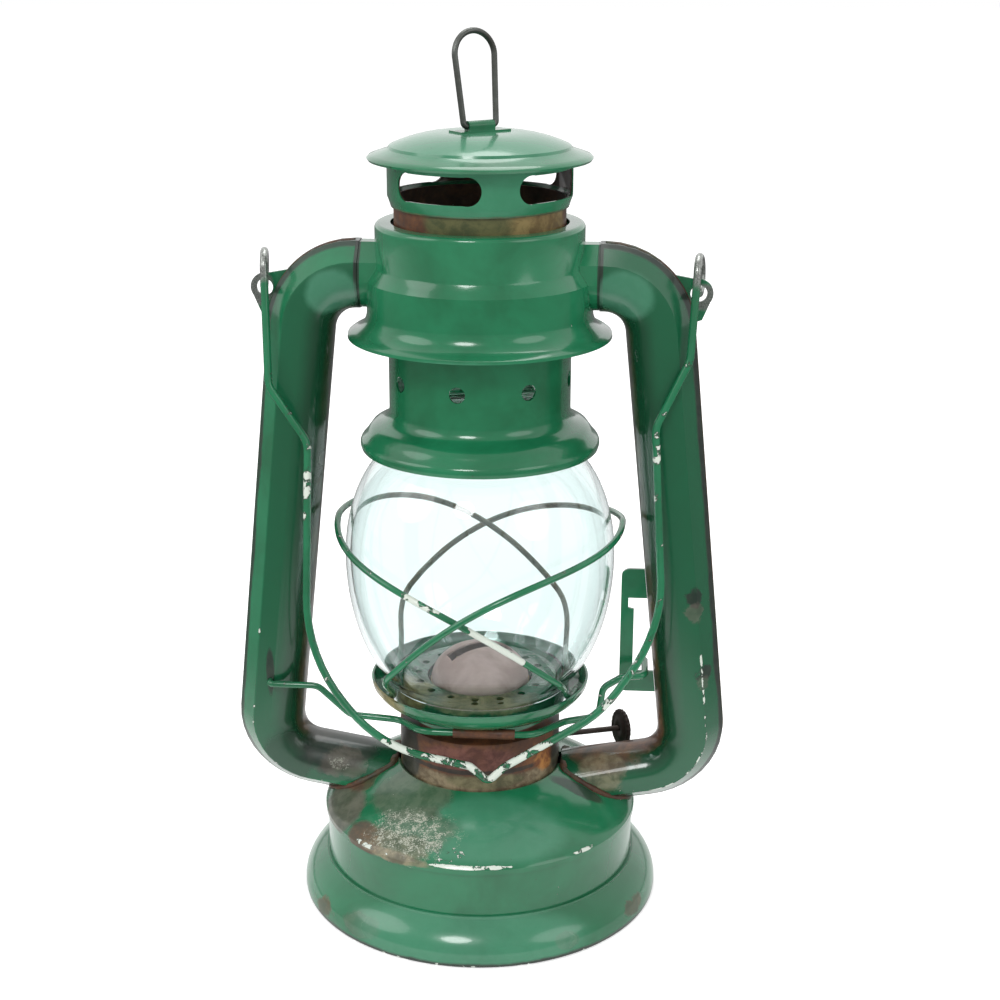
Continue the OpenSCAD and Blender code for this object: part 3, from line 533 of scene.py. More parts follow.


# how strongly painted shade and real marks show along each side tube, the first three numbers being painted
# shade;
# then where the paint has suffered, piece by piece: flakes to the metre, how many, then the patches
rightWearAndShade = {"flankShade": 0.85, "edge": 0.90, "innerShade": 0.85, "line": 0.95, "rim": 0.95, "crease": 0.55}
leftWearAndShade = {"flankShade": 0.90, "edge": 0.0, "innerShade": 0.90, "line": 0.85, "rim": 0.60, "crease": 0.32}
paints = {
    "foot_skirt": enamel("footEnamel", 300, 0.13, [
        ("murk", (-34, -46, 6), (9, 7, 4), 1.2, 120, 0.4),
        ("murk", (30, -48, 5), (5, 4, 3), 1.2, 120, 0.4),
        # painted highlight on the front of the foot
        ("paintedHighlight", (0, -60, 7), (56, 26, 11), 0.25, 40, 0.45),
        ("soot", (0, 0, 0), (95, 95, 2.4), 0.4, 150, 0.95),
        ("rust", (-47, -32, 4), (6, 6, 3.2), 1.8, 170, 0.7),
        ("rust", (50, -26, 5), (5, 6, 3), 1.8, 170, 0.6),
        ("rust", (28, 49, 4), (8, 6, 3.2), 1.8, 170, 0.7),
        ("flakes", (10, -57, 0.3), (60, 40, 1.1), 0.6, 200, 0.38)]),
    "fount_wall": enamel("wallEnamel", 300, 0.13, [("flakes", (0, -50, 29), (40, 30, 1.2), 0.8, 200, 0.2)]),
    "fount_dome": enamel("domeEnamel", 420, 0.14, [
        # painted highlight on the middle of the dome
        ("paintedHighlight", (4, -38, 36.5), (30, 16, 10), 0.3, 40, 0.5),
        ("stain", (-20, -25, 40.5), (17, 13, 7), 0.9, 110, 0.75),
        ("murk", (-42, -17, 33), (9, 17, 8), 0.7, 110, 0.85),
        ("rust", (-33, -36, 31), (9, 8, 4.5), 1.0, 150, 0.85),
        ("tan", (-23, -42, 31.5), (14, 8, 4), 1.2, 170, 0.65),
        ("stain", (-18, -38, 35), (16, 11, 7), 1.0, 150, 0.6),
        ("crust", (-19, -38.5, 34.5), (15, 11, 7), 2.2, 260, 1.0),
        ("soot", (-42, -3, 41), (9, 13, 8), 0.8, 120, 0.9),
        ("rust", (-38, -10, 40), (7, 9, 6), 1.0, 140, 0.7),
        ("soot", (34, -14, 40), (13, 3.2, 7), 0.6, 150, 0.8),
        ("tan", (0, 0, 43.8), (28.6, 28.6, 1.6), 0.4, 150, 0.55),
        ("tan", (-24, -44, 29.6), (16, 12, 1.6), 0.8, 170, 0.7),
        ("flakes", (-8, -45, 32.2), (9, 6, 2.2), 1.2, 260, 0.42),
        ("flakes", (2, -50, 30.05), (17, 6, 0.6), 1.1, 260, 0.80),
        ("flakes", (36, -36, 29.9), (6, 6, 0.6), 0.9, 240, 0.7),
        ("stain", (26, 30, 38), (14, 12, 7), 1.0, 140, 0.6),
        ("flakes", (-18, 46, 30.4), (15, 8, 1.2), 1.1, 260, 0.6),
        ("flakes", (-32, -39, 29.9), (9, 8, 0.8), 0.9, 240, 0.5)]),
    "right_tube": enamel("rightTubeEnamel", 260, 0.13, [
        ("rust", (41, 0, 46), (13, 14, 6), 0.8, 120, 0.8),
        ("tan", (40, -8, 43), (8, 6, 7), 0.9, 150, 0.6),
        ("rust", (53, 0, 58), (7, 20, 9), 0.8, 120, 0.8),
        ("soot", (36, 0, 201), (0.8, 40, 40), 0.3, 120, 0.9),
        # painted highlight on the top bend
        ("paintedHighlight", (43, -10, 197), (9, 9, 8), 0.5, 60, 0.5),
        ("soot", (66.5, -8, 103.5), (3.2, 4, 3.6), 1.7, 300, 0.85),
        ("murk", (67, -8, 99), (3, 4, 4), 1.6, 260, 0.5),
        ("soot", (70.4, -7, 78.4), (3.6, 4, 2.4), 1.7, 300, 0.85),
        ("murk", (70, -7, 75), (2.6, 4, 3), 1.6, 260, 0.4)],
        rightWearAndShade),
    "left_tube": enamel("leftTubeEnamel", 260, 0.13, [
        ("soot", (-47, -2, 46), (14, 16, 8), 0.8, 120, 0.85),
        # painted shade on the lower bend, laid on with the soot mark
        ("soot", (-61, -9, 45), (9, 8, 10), 0.7, 110, 0.45),
        ("murk", (-44, -8, 43), (9, 7, 5), 1.3, 190, 0.55),
        ("crust", (-45, -9, 43), (3.4, 3, 2.4), 1.8, 260, 0.5),
        ("soot", (-66, -11, 75), (1.5, 5, 9), 0.5, 140, 0.85),
        ("soot", (-36, 0, 201), (0.8, 40, 40), 0.3, 120, 0.9),
        # painted highlight on the top bend
        ("paintedHighlight", (-43, -10, 197), (9, 9, 8), 0.5, 60, 0.5)],
        leftWearAndShade),
    "air_chamber": enamel("chamberEnamel", 240, 0.11, [
        # painted highlight on the chamber's skirt
        ("paintedHighlight", (-4, -42, 179), (40, 22, 5), 0.3, 60, 0.5),
        ("soot", (35.5, 0, 201), (0.6, 40, 14), 0.3, 120, 0.8),
        ("soot", (-35.5, 0, 201), (0.6, 40, 14), 0.3, 120, 0.8)]),
    "globe_bell": enamel("bellEnamel", 260, 0.13, [
        ("flakes", (0, -36, 149), (36, 30, 1.6), 0.8, 180, 0.2)]),
    "hood_wall": enamel("hoodWallEnamel", 260, 0.12, [
        ("rust", (0, 0, 222.0), (34, 34, 1.0), 0.6, 150, 0.7),
        # painted highlight on the front of the hood wall
        ("paintedHighlight", (0, -27, 229), (30, 12, 9), 0.5, 90, 0.35)],
        inside=(27.0, 225.2)),
    # painted highlight on the cap
    "hood_cap": enamel("hoodCapEnamel", 260, 0.12, [("paintedHighlight", (-2, -4, 243), (36, 36, 9), 0.6, 60, 0.42)]),
    "globe_plate": enamel("plateEnamel", 280, 0.14, [
        ("murk", (0, 4, 73), (30, 30, 1.8), 0.7, 130, 0.6),
        ("tan", (4, -20, 72.8), (22, 9, 2.2), 0.8, 150, 0.8),
        ("olive", (-24, -15, 71.6), (12, 13, 4), 0.8, 130, 0.9),
        # straw stain on the plate, made paler as painted light
        ("strawStainAndLight", (-24, -16, 70.5), (12, 12, 5), 0.9, 140, 0.85),
        ("strawStainAndLight", (3, -22, 71.5), (20, 6, 3), 1.1, 150, 0.5),
        ("soot", (0, 0, 67.4), (27.5, 27.5, 2.6), 0.4, 130, 0.7)]),
    "ring_lug": enamel("lugEnamel", 300, 0.13, [("soot", (-5, -4, 244.5), (2.2, 2.2, 3), 0.5, 140, 0.9)]),
    "filler_cap": enamel("capEnamel", 300, 0.2),
    "lever_bracket": enamel("bracketEnamel", 260, 0.14),
    "ears": enamel("earEnamel", 260, 0.16, [
        ("zinc", (-67, 0, 196.6), (5, 4, 6), 0.6, 140, 0.85),
        ("zinc", (67, 0, 195.4), (5, 4, 4.4), 0.6, 140, 0.8)]),
    "bail": enamel("bailEnamel", 150, 0.36, [
        ("flakes", (2, -33, 57), (40, 14, 13), 0.8, 190, 0.40),
        ("flakes", (-54, -15, 154), (9, 16, 26), 1.4, 160, 0.34),
        ("flakes", (55, -18, 140), (8, 16, 30), 1.4, 160, 0.14),
        ("flakes", (46, -30, 76), (14, 14, 20), 1.0, 190, 0.22),
        ("zinc", (-65, 0, 204), (7, 9, 9), 0.5, 150, 0.9),
        ("zinc", (65, 0, 204), (7, 9, 9), 0.5, 150, 0.9)]),
    "guards": enamel("guardEnamel", 230, 0.36, [
        ("rust", (0, 42, 100), (70, 34, 70), 0.4, 120, 0.75),
        ("flakes", (9, -42, 100), (14, 3.6, 10), 0.4, 140, 0.9),
        ("flakes", (-14, -41, 112), (9, 3.6, 6), 0.8, 140, 0.45),
        ("flakes", (30, 6, 74), (9, 12, 8), 0.8, 140, 0.7)]),
    "lift_lever": enamel("leverEnamel", 240, 0.30),
    "burner_collar": enamel("collarRust", 300, 0.1, [
        ("redRust", (-3, -26, 53.5), (19, 9, 5), 0.8, 130, 0.8),
        ("soot", (0, 0, 49.4), (60, 60, 0.9), 0.4, 150, 0.75),
        ("tan", (0, 0, 44.6), (60, 60, 4.4), 0.35, 140, 0.85),
        ("olive", (4, -24, 46), (14, 8, 2.4), 0.9, 160, 0.5),
        ("soot", (-22, -13, 52), (7, 10, 12), 0.7, 130, 0.9),
        ("orange", (21.5, -13.8, 49.6), (4.6, 6, 4), 0.9, 200, 0.95),
        ("soot", (25, -3, 50), (6, 9, 12), 0.7, 130, 0.85)],
        base="rust"),
    "chimney_tube": enamel("chimneyRust", 300, 0.1, [
        ("olive", (2, -25, 219), (19, 14, 14), 0.5, 120, 0.9),
        ("ochre", (20, -17, 219), (14, 13, 14), 0.5, 120, 0.85)],
        base="rust", inside=(25.2, 170)),
}
paints["right_ear"] = paints["left_ear"] = paints["ears"]
paints["right_guard"] = paints["left_guard"] = paints["guards"]
paints["lever_sleeve"] = rustySteel("sleeveRust", 0.35, 0.5, 160.0)
# node, material, tint, roughness, then tarnish, its share and how metallic it is
metals = [
    ("burner_cone", "coneTin", (0.66, 0.46, 0.43), 0.48, (0.44, 0.27, 0.24), 0.8, 0.10),
    ("burner_base", "burnerBrass", (0.50, 0.33, 0.13), 0.34),
    ("wick_tube", "wickTubeBrass", (0.45, 0.30, 0.13), 0.38),
    ("tank_top", "tankTin", (0.46, 0.46, 0.43), 0.40),
    ("fount_bottom", "bottomTin", (0.40, 0.41, 0.38), 0.42),
    ("filler_neck", "neckTin", (0.45, 0.43, 0.38), 0.38),
    ("wick_spindle", "spindleSteel", (0.10, 0.08, 0.07), 0.46, (0.03, 0.02, 0.018), 0.6, 0.5),
    ("thumb_wheel", "thumbSteel", (0.045, 0.028, 0.024), 0.55, (0.02, 0.014, 0.012), 0.6, 0.3),
    ("lift_ring", "ringSteel", (0.16, 0.17, 0.16), 0.36),
    ("hood_spring", "springSteel", (0.28, 0.28, 0.28), 0.36),
]
for node, *finish in metals:
    paints[node] = bareMetal(*finish)
paints["globe_glass"] = clearGlass("globeGlass")
paints["filler_gasket"] = rubber("gasketRubber")

# the solids come with split corners: weld them, then keep only real edges sharp
dressLook = {"weld": 0.01 * mm, "edge": 32, "wireEdge": 70, "wires": ("lift_lever",)}


def dressNode(name):
    node = nodes[name]
    node.data.materials.clear()
    if name in paints:
        node.data.materials.append(paints[name])
    node.data.polygons.foreach_set("use_smooth", [True] * len(node.data.polygons))
    weld = node.modifiers.new("weld", "WELD")
    weld.merge_threshold = dressLook["weld"]
    split = node.modifiers.new("edges", "EDGE_SPLIT")
    split.split_angle = math.radians(dressLook["wireEdge" if name in dressLook["wires"] else "edge"])


for name in nodes:
    dressNode(name)
print("solids dressed")


def newPiece(name, build, material, body):
    mesh = bpy.data.meshes.new(name)
    shape = bmesh.new()
    build(shape)
    bmesh.ops.recalc_face_normals(shape, faces=shape.faces)
    shape.to_mesh(mesh)
    shape.free()
    piece = bpy.data.objects.new(name, mesh)
    mesh.materials.append(material)
    mesh.polygons.foreach_set("use_smooth", [True] * len(mesh.polygons))
    scene.collection.objects.link(piece)
    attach(piece, body)
    return piece


# flat woven wick, charred and a little frayed at its top
wickLook = {
    "ends": 26, "rows": 90, "weave": 0.10 * mm, "fray": 0.9 * mm,
    "turn": 26,                    # degrees, as the burner stands
    "char": (7 * mm, 2 * mm),      # below the top
}


def buildWick(shape):
    low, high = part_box("wick")
    turn = math.radians(wickLook["turn"])
    across, through = wickSize()
    chance = random.Random(5)
    ends, rows = wickLook["ends"], wickLook["rows"]
    rings = []
    for row in range(rows + 1):
        height = low.z + (high.z - low.z) * row / rows
        ring = []
        for face in (-1, 1):
            for end in range(ends + 1):
                step = end if face < 0 else ends - end
                u = step / ends - 0.5
                woven = wickLook["weave"] * (1 if (step + row) % 2 else 0)
                edge = 1 - (2 * abs(u)) ** 8
                x = u * across
                y = face * (through / 2 * (0.35 + 0.65 * edge) - woven)
                drop = chance.random() * wickLook["fray"] if row == rows else 0
                ring.append(shape.verts.new((x * math.cos(turn) - y * math.sin(turn),
                                             x * math.sin(turn) + y * math.cos(turn), height - drop)))
        rings.append(ring)
    for below, above in zip(rings, rings[1:]):
        for k in range(len(below)):
            n = (k + 1) % len(below)
            shape.faces.new((below[k], below[n], above[n], above[k]))
    shape.faces.new(rings[0][::-1])
    shape.faces.new(rings[-1])


def wickSize():
    low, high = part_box("wick")
    turn = math.radians(wickLook["turn"])
    wide, deep = high.x - low.x, high.y - low.y
    ends = math.cos(2 * turn)
    return ((wide * math.cos(turn) - deep * math.sin(turn)) / ends,
            (deep * math.cos(turn) - wide * math.sin(turn)) / ends)


def wickCotton(name):
    material, tree, shader, place = newMaterial(name)
    soft = useGroup(tree, clouding, Place=place, Scale=120.0)
    low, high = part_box("wick")
    parts = splitPlace(tree, place)
    charLow, charHigh = wickLook["char"]
    char = spread(tree, parts["Z"], high.z - charLow, high.z - charHigh)
    cloth = blendColor(tree, soft["Cloud"], (0.62, 0.56, 0.44, 1), (0.40, 0.34, 0.24, 1))
    feed(tree, shader.inputs["Base Color"], blendColor(tree, char, cloth, (0.012, 0.010, 0.008, 1)))
    feed(tree, shader.inputs["Roughness"], spread(tree, soft["Cloud"], 0.3, 0.7, 0.8, 0.95))
    shader.inputs["Sheen Weight"].default_value = 0.3
    addBump(tree, shader, soft["Ripple"], 0.5, 0.0003)
    return material


wick = newPiece("wovenWick", buildWick, wickCotton("wickCotton"), "wick")
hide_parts("wick")
print("wick woven")


# a section swept along points, each with its own two side vectors
def sweep(shape, points, sides, section):
    rings = []
    for point, side in zip(points, sides):
        rings.append([shape.verts.new(point + side[0] * u + side[1] * v) for u, v in section])
    for below, above in zip(rings, rings[1:]):
        for k in range(len(section)):
            n = (k + 1) % len(section)
            shape.faces.new((below[k], below[n], above[n], above[k]))
    return rings


def capEnds(shape, rings):
    shape.faces.new(rings[0][::-1])
    shape.faces.new(rings[-1])


# a folded seam stands on the outer line of each side tube
seamLook = {"width": 1.1 * mm, "proud": 0.30 * mm, "sunk": 0.35 * mm, "steps": 46, "wobble": 0.08 * mm}


def tubePath():
    line = tubeLine
    lean, half, endHalf = line["lean"], line["half"], line["endHalf"]
    bends = [
        (line["topCentre"], line["topBend"], line["topTurn"], lean, half),
        (line["lowCentre"], line["lowBend"], lean, line["lowTurn"], endHalf),
    ]
    points = []
    for centre, bend, first, last, lastHalf in bends:
        for k in range(seamLook["steps"] + 1):
            t = k / seamLook["steps"]
            angle = math.radians(first + (last - first) * t)
            radius = bend + half + (lastHalf - half) * t * t * (3 - 2 * t)
            out = Vector((math.cos(angle), 0, math.sin(angle)))
            points.append((Vector((centre[0], 0, centre[1])) * mm + out * radius * mm, out))
    return points


def buildSeam(side):
    def build(shape):
        chance = random.Random(23)
        wide, proud, sunk = seamLook["width"], seamLook["proud"], -seamLook["sunk"]
        section = [(-wide, sunk), (-wide, 0), (-0.6 * wide, 0.75 * proud), (0, proud),
                   (0.6 * wide, 0.75 * proud), (wide, 0), (wide, sunk)]
        points, sides = [], []
        for point, out in tubePath():
            shift = chance.uniform(-1, 1) * seamLook["wobble"]
            points.append(Vector((side * point.x, shift, point.z)))
            sides.append((Vector((0, 1, 0)), Vector((side * out.x, 0, out.z))))
        capEnds(shape, sweep(shape, points, sides, section))
    return build


seamRust = rustySteel("seamRust", 0.0, 0.25, 190.0)
bothSides = (("right", 1), ("left", -1))
for label, side in bothSides:
    newPiece(label + "Seam", buildSeam(side), seamRust, "frame")
print("tube seams folded")

# a lumpy bead of solder closes each side tube against the dome
solderLook = {"reach": 0.75 * mm, "thick": 1.05 * mm, "lump": 0.35, "steps": 72, "sides": 8, "buckets": 24}


def meshTree(name):
    mesh = nodes[name].data
    return BVHTree.FromPolygons([v.co for v in mesh.vertices], [p.vertices for p in mesh.polygons])


def tubeEnd(name):
    trees = [meshTree("fount_dome"), meshTree("burner_collar")]
    near = [v.co.copy() for v in nodes[name].data.vertices
            if min(tree.find_nearest(v.co)[3] for tree in trees) < solderLook["reach"]]
    middle = sum(near, Vector()) / len(near)
    outermost = {}
    for point in near:
        away = Vector((point.y - middle.y, point.z - middle.z))
        turn = math.atan2(away.y, away.x)
        bucket = int((turn + math.pi) / (2 * math.pi) * solderLook["buckets"]) % solderLook["buckets"]
        if bucket not in outermost or away.length > outermost[bucket][0]:
            outermost[bucket] = (away.length, turn, point)
    return middle, [point for length, turn, point in sorted(outermost.values(), key=lambda entry: entry[1])]


def buildSolder(name):
    def build(shape):
        chance = random.Random(31)
        middle, loop = tubeEnd(name)
        count, steps = len(loop), solderLook["steps"]
        smooth = []    # an even curve through the points of the loop
        for k in range(steps):
            t = k / steps * count
            first = int(t) % count
            a, b, c, d = (loop[(first + n) % count] for n in (-1, 0, 1, 2))
            f = t - int(t)
            smooth.append(0.5 * ((2 * b) + (c - a) * f + (2 * a - 5 * b + 4 * c - d) * f * f
                                 + (3 * b - a - 3 * c + d) * f ** 3))
        lumps = [chance.uniform(1 - solderLook["lump"], 1 + solderLook["lump"]) for k in range(steps)]
        points, sides = [], []
        for k in range(steps + 1):
            i = k % steps
            along = (smooth[(i + 1) % steps] - smooth[i - 1]).normalized()
            out = smooth[i] - middle
            out = (out - along * out.dot(along)).normalized()
            size = (lumps[i] + lumps[i - 1] + lumps[(i + 1) % steps]) / 3 * solderLook["thick"]
            points.append(smooth[i])
            sides.append((out * size, along.cross(out) * size))
        turns = [2 * math.pi * k / solderLook["sides"] for k in range(solderLook["sides"])]
        sweep(shape, points, sides, [(math.cos(a), math.sin(a)) for a in turns])
        bmesh.ops.remove_doubles(shape, verts=shape.verts, dist=dressLook["weld"])
    return build


newPiece("rightSolder", buildSolder("right_tube"), rustySteel("rightSolderTan", 0.05, 0.3, 240.0), "frame")
newPiece("leftSolder", buildSolder("left_tube"), rustySteel("leftSolderDark", 0.10, 0.15, 240.0), "frame")
print("tubes soldered")


# round wire through points in millimetres, its rings carried along without twist
def bendWire(shape, points, wire, sides=12):
    points = [Vector(point) * mm for point in points]
    last = len(points) - 1
    frames = []
    side = Vector((0.1, 1, 0))
    for k in range(last + 1):
        way = (points[min(k + 1, last)] - points[max(k - 1, 0)]).normalized()
        side = (side - way * side.dot(way)).normalized()
        frames.append((side, way.cross(side)))
    turns = [2 * math.pi * k / sides for k in range(sides)]
    section = [(math.cos(a) * wire / 2 * mm, math.sin(a) * wire / 2 * mm) for a in turns]
    capEnds(shape, sweep(shape, points, frames, section))


def roundCorners(points, radii):
    points = [Vector(point) for point in points]
    path = [points[0]]
    for before, corner, after, radius in zip(points, points[1:], points[2:], radii):
        come = (corner - before).normalized()
        go = (after - corner).normalized()
        turn = come.angle(go)
        inward = (go - come * come.dot(go)).normalized()
        centre = corner - come * radius * math.tan(turn / 2) + inward * radius
        steps = max(4, int(turn / 0.08))
        for k in range(steps + 1):
            a = turn * k / steps
            path.append(centre + radius * (come * math.sin(a) - inward * math.cos(a)))
    return path + [points[-1]]


def jointData(name):
    return next(joint for joint in frame["record"]["behaviour"]["joints"] if joint["name"] == name)


def jointPlace(name):
    return Vector(jointData(name)["pos_m"]) / mm


# bail: an eye in each ear, two bent legs and a grip that comes to a point, in millimetres
bailLook = {
    "wire": 2.4, "earX": 65.0, "lean": 11, "length": 153.0,
    "eye": 5.4, "yaw": 9, "sweep": 305, "eyeSteps": 40,
    # place across, share of the length and bend radius of every corner from left to right
    "corners": [(-62.7, 0.228, 7), (-50.8, 0.337, 9), (-51.0, 0.767, 50), (-28.2, 0.944, 40),
                (-0.4, 0.979, 2.4), (5.2, 1.009, 2), (9.8, 0.979, 4),
                (39.0, 0.8625, 40), (51.8, 0.7406, 50), (56.4, 0.64, 40),
                (53.2, 0.294, 9), (62.8, 0.163, 7)],
}


def buildBail(shape):
    look = bailLook
    yaw = math.radians(look["yaw"])

    def eyePoint(side, angle):
        a = math.radians(angle)
        return Vector((side * (look["earX"] - look["eye"] * math.sin(yaw) * math.cos(a)),
                       -look["eye"] * math.cos(yaw) * math.cos(a), look["eye"] * math.sin(a)))

    y = -look["eye"] * math.cos(yaw)
    legs = [eyePoint(-1, 0)]
    legs += [Vector((x, y, -share * look["length"])) for x, share, radius in look["corners"]]
    legs.append(eyePoint(1, 0))
    steps = look["eyeSteps"]
    eyes = [look["sweep"] * k / steps for k in range(1, steps + 1)]
    path = [eyePoint(-1, angle) for angle in reversed(eyes)]
    path += roundCorners(legs, [radius for x, share, radius in look["corners"]])
    path += [eyePoint(1, angle) for angle in eyes]
    tilt = Euler((-math.radians(look["lean"]), 0, 0)).to_matrix()
    bendWire(shape, [tilt @ point + jointPlace("bail_swing") for point in path], look["wire"])


bail = newPiece("wireBail", buildBail, paints["bail"], "bail")
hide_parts("bail")

# guard wires follow the globe from a high side down to two feet on the plate, in millimetres
guardLook = {
    "wire": 2.0, "low": 69.8, "high": 124.86, "foot": 31.3, "belly": 43.3, "rise": 18.0, "steps": 60,
    # degrees round the globe, steepness and dip, in front and behind, then how far the wire stands off
    # at the side and how much further in front
    "right": ((155, 2.15, 0.065), (170, 2.0, 0.12), 1.0, 2.2),
    "left": ((172, 1.85, 0.165), (170, 1.6, 0.02), 1.0, -0.95),
}


def buildGuard(label, side):
    def build(shape):
        look = guardLook
        front, back, off, bulge = look[label]
        points = []
        for k in range(-look["steps"], look["steps"] + 1):
            turn, steep, dip = front if k < 0 else back
            u = abs(k) / look["steps"]
            a = math.radians(u * turn)
            fall = max(0, (1 + math.cos(math.pi * u ** steep)) / 2 - dip * math.sin(math.pi * u))
            z = look["low"] + (look["high"] - look["low"]) * fall
            t = min(1, max(0, (z - look["low"]) / look["rise"]))
            wide = look["belly"] + off + bulge * math.sin(a) ** 2
            r = look["foot"] + (wide - look["foot"]) * t * t * (3 - 2 * t)
            points.append((side * r * math.cos(a), math.copysign(r * math.sin(a), k), z))
        bendWire(shape, points, look["wire"])
    return build


for label, side in bothSides:
    guard = newPiece(label + "Guard", buildGuard(label, side), paints["guards"], "globe_carriage")
    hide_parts(label + "_guard")

# thumb wheel: a thin disc with a wavy rim on the end of its spindle, in millimetres
thumbLook = {
    "radius": 6.3, "rim": 1.5, "waves": 22, "depth": 0.35, "steps": 176,
    "hub": 3.4, "bore": 0.9, "proud": 0.9,
}


def buildThumb(shape):
    look = thumbLook
    axis = Vector(jointData("wick_turn")["axis"]).normalized()
    low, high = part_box("thumb_wheel")
    middle = (low + high) / 2
    pivot = jointPlace("wick_turn") * mm
    middle = pivot + axis * (middle - pivot).dot(axis)
    side = axis.cross(Vector((0, 0, 1))).normalized()
    up = side.cross(axis)
    radius, hub, bore = look["radius"], look["hub"], look["bore"]
    front = look["rim"] / 2
    back, boss = -front, front + look["proud"]
    # radius, how much the waves show there, and place along the spindle
    profile = [(bore, 0, back - 0.2), (hub, 0, back - 0.2), (hub + 0.5, 0, back + 0.2),
               (radius - 1.2, 0, back + 0.2), (radius - 0.5, 0.4, back), (radius, 1, back + 0.3),
               (radius, 1, front - 0.3), (radius - 0.5, 0.4, front), (radius - 1.2, 0, front - 0.2),
               (hub + 0.5, 0, front - 0.2), (hub, 0, boss), (bore, 0, boss)]
    rings = []
    for k in range(look["steps"]):
        angle = 2 * math.pi * k / look["steps"]
        out = side * math.cos(angle) + up * math.sin(angle)
        wave = look["depth"] * (1 - math.cos(look["waves"] * angle)) / 2
        rings.append([shape.verts.new(middle + (out * (r - wave * share) + axis * z) * mm)
                      for r, share, z in profile])
    for k, ring in enumerate(rings):
        after = rings[(k + 1) % look["steps"]]
        for j in range(len(profile)):
            n = (j + 1) % len(profile)
            shape.faces.new((ring[j], ring[n], after[n], after[j]))


thumb = newPiece("thumbWheel", buildThumb, paints["thumb_wheel"], "wick_spindle")
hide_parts("thumb_wheel")

# lift ring: a long wire loop whose foot turns in the lug, in millimetres
ringLook = {
    "wire": 1.8, "width": 13.6, "height": 26.8, "foot": 5.6, "corner": 1.2, "archSteps": 36,
    "turn": 38, "lean": 8,
}


def buildRing(shape):
    look = ringLook
    half = look["width"] / 2
    crown = look["height"] - half
    # one leg starts just beside the middle of the foot, and the other mirrors it
    leg = roundCorners([(0.1, 0, 0), (look["foot"], 0, 0), (half, 0, crown)], [look["corner"]])
    turns = [math.pi * k / look["archSteps"] for k in range(1, look["archSteps"])]
    arch = [Vector((half * math.cos(a), 0, crown + half * math.sin(a))) for a in turns]
    path = leg + arch + [Vector((-point.x, 0, point.z)) for point in reversed(leg)]
    place = Euler((-math.radians(look["lean"]), 0, math.radians(look["turn"]))).to_matrix()
    bendWire(shape, [place @ point + jointPlace("ring_swing") for point in path], look["wire"])


ring = newPiece("wireRing", buildRing, paints["lift_ring"], "lift_ring")
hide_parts("lift_ring")
print("wires bent")

# round spring wire in even coils up the spring's height
springLook = {"wire": 0.7 * mm, "coils": 4.5, "steps": 260, "sides": 12, "travel": 13 * mm}


def buildSpring(shape):
    low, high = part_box("hood_spring")
    wire = springLook["wire"]
    radius = (high.x - low.x) / 2 - wire
    points, sides = [], []
    for k in range(springLook["steps"] + 1):
        t = k / springLook["steps"]
        angle = 2 * math.pi * springLook["coils"] * t
        rise = low.z + wire + (high.z - low.z - 2 * wire) * t
        out = Vector((math.cos(angle), math.sin(angle), 0))
        points.append(out * radius + Vector((0, 0, rise)))
        sides.append((out * wire, Vector((0, 0, wire))))
    turns = [2 * math.pi * k / springLook["sides"] for k in range(springLook["sides"])]
    capEnds(shape, sweep(shape, points, sides, [(math.cos(a), math.sin(a)) for a in turns]))


spring = newPiece("hoodSpring", buildSpring, paints["hood_spring"], "frame")
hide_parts("hood_spring")
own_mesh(spring)
print("spring wound")

# floor, backdrop and light
studio = {
    "floorReach": 6.0,
    "floorColor": (0.93, 0.93, 0.93),
    "floorCloud": (0.945, 0.945, 0.945),
    "floorLift": 0.43,         # seen by the eye only
    "mirrorLift": 0.08,        # seen by gloss and through glass
    "tableReach": (0.09, 0.30),    # gloss finds a bright table near the foot and a dimmer room beyond
    "roomGlow": 0.20,
    "ambient": 0.70,
    "frontGlow": 0.38,         # what gloss finds in the dim room in front
    "roomTurn": (-0.7, 0.55),      # the room brightens between these directions from front to back
    "lamps": [
        # name, place, aims at, size, watts
        ("keyBox", (-0.28, -1.25, 1.25), (0, 0, 0.12), 0.50, 7.5),
        ("sideBox", (-1.15, -0.45, 0.95), (0, 0, 0.12), 0.90, 4.0),
        ("topBox", (0.05, 0.42, 1.30), (0, 0, 0.15), 0.80, 5.2),
        ("fillBox", (1.05, -0.70, 0.75), (0, 0, 0.12), 0.80, 2.5),
    ],
}


def addWorld():
    world = bpy.data.worlds.new("studioWorld")
    scene.world = world
    world.use_nodes = True
    tree = world.node_tree
    back = tree.nodes["Background"]
    path = addNode(tree, "ShaderNodeLightPath").outputs
    parts = splitPlace(tree, addNode(tree, "ShaderNodeTexCoord").outputs["Generated"])
    room = spread(tree, parts["Y"], *studio["roomTurn"], studio["frontGlow"], 1.0)
    seen = maths(tree, "MAXIMUM", path["Is Camera Ray"], path["Is Transmission Ray"])
    strength = blendValue(tree, path["Is Glossy Ray"], studio["ambient"], room)
    back.inputs["Color"].default_value = (1, 1, 1, 1)
    feed(tree, back.inputs["Strength"], blendValue(tree, seen, strength, 1.0))


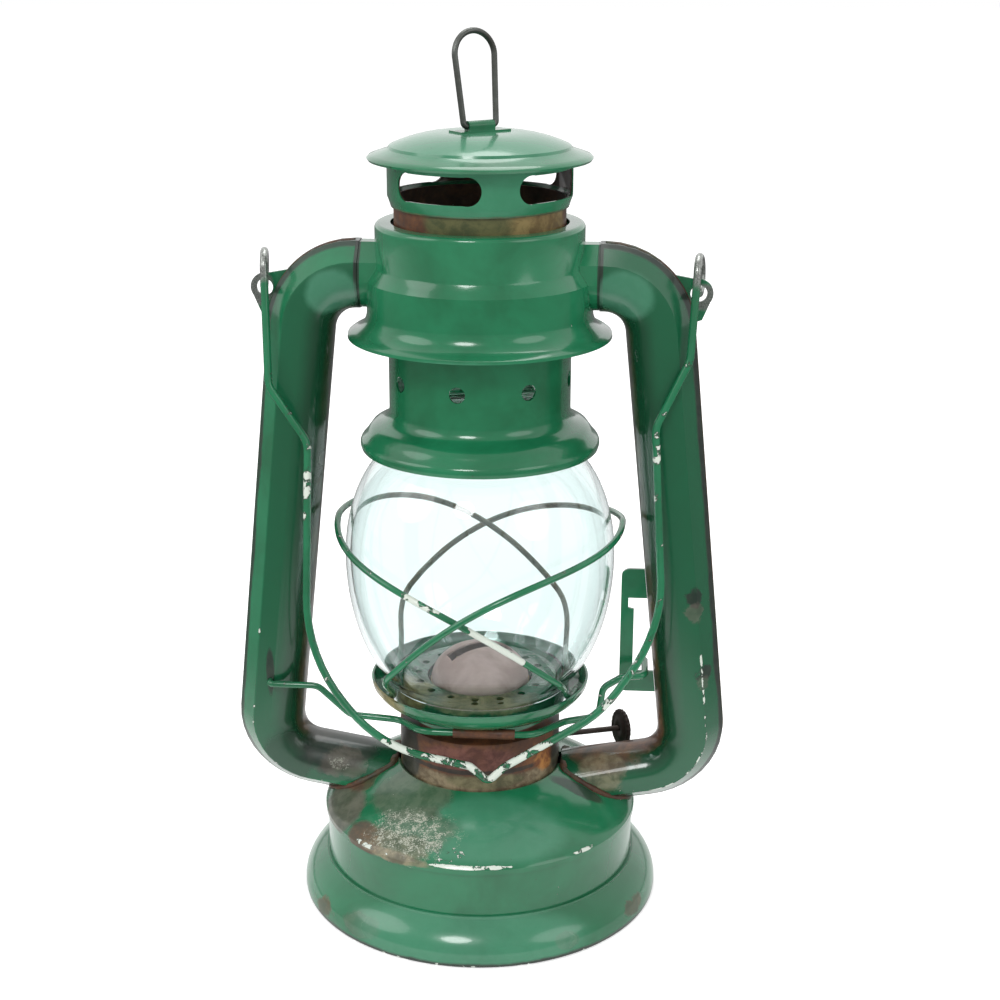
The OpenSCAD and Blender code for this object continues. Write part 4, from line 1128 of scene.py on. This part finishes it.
def addFloor():
    mesh = bpy.data.meshes.new("studioFloor")
    reach = studio["floorReach"]
    corners = [(-reach, -reach, 0), (reach, -reach, 0), (reach, reach, 0), (-reach, reach, 0)]
    mesh.from_pydata(corners, [], [(0, 1, 2, 3)])
    floor = bpy.data.objects.new("studioFloor", mesh)
    scene.collection.objects.link(floor)
    material, tree, shader, place = newMaterial("floorPaper")
    soft = useGroup(tree, clouding, Place=place, Scale=4.0)
    shade = blendColor(tree, soft["Cloud"], (*studio["floorColor"], 1), (*studio["floorCloud"], 1))
    feed(tree, shader.inputs["Base Color"], shade)
    shader.inputs["Roughness"].default_value = 0.9
    shader.inputs["Specular IOR Level"].default_value = 0.1
    path = addNode(tree, "ShaderNodeLightPath").outputs
    eye = times(tree, path["Is Camera Ray"], studio["floorLift"])
    bounced = maths(tree, "MAXIMUM", path["Is Glossy Ray"], path["Is Transmission Ray"])
    glow = addNode(tree, "ShaderNodeEmission")
    feed(tree, glow.inputs["Strength"],
         maths(tree, "MAXIMUM", eye, times(tree, bounced, studio["mirrorLift"])))
    both = addNode(tree, "ShaderNodeAddShader")
    tree.links.new(shader.outputs[0], both.inputs[0])
    tree.links.new(glow.outputs[0], both.inputs[1])
    beyond = spread(tree, vectorLength(tree, place), *studio["tableReach"])
    room = addNode(tree, "ShaderNodeEmission")
    room.inputs["Strength"].default_value = studio["roomGlow"]
    far = addNode(tree, "ShaderNodeMixShader")
    mirrored = minus(tree, path["Is Glossy Ray"], path["Is Transmission Ray"], clamp=True)
    feed(tree, far.inputs["Fac"], times(tree, mirrored, beyond))
    tree.links.new(both.outputs[0], far.inputs[1])
    tree.links.new(room.outputs[0], far.inputs[2])
    tree.links.new(far.outputs[0], tree.nodes["Material Output"].inputs["Surface"])
    mesh.materials.append(material)


def addLamp(name, place, aim, size, watts):
    data = bpy.data.lights.new(name, "AREA")
    data.shape = "DISK"
    data.size = size
    data.energy = watts
    lamp = bpy.data.objects.new(name, data)
    lamp.location = place
    lamp.rotation_euler = (Vector(aim) - Vector(place)).to_track_quat("-Z", "Y").to_euler()
    scene.collection.objects.link(lamp)


addWorld()
addFloor()
for lampValues in studio["lamps"]:
    addLamp(*lampValues)
scene.view_settings.view_transform = "Standard"
print("studio lit")
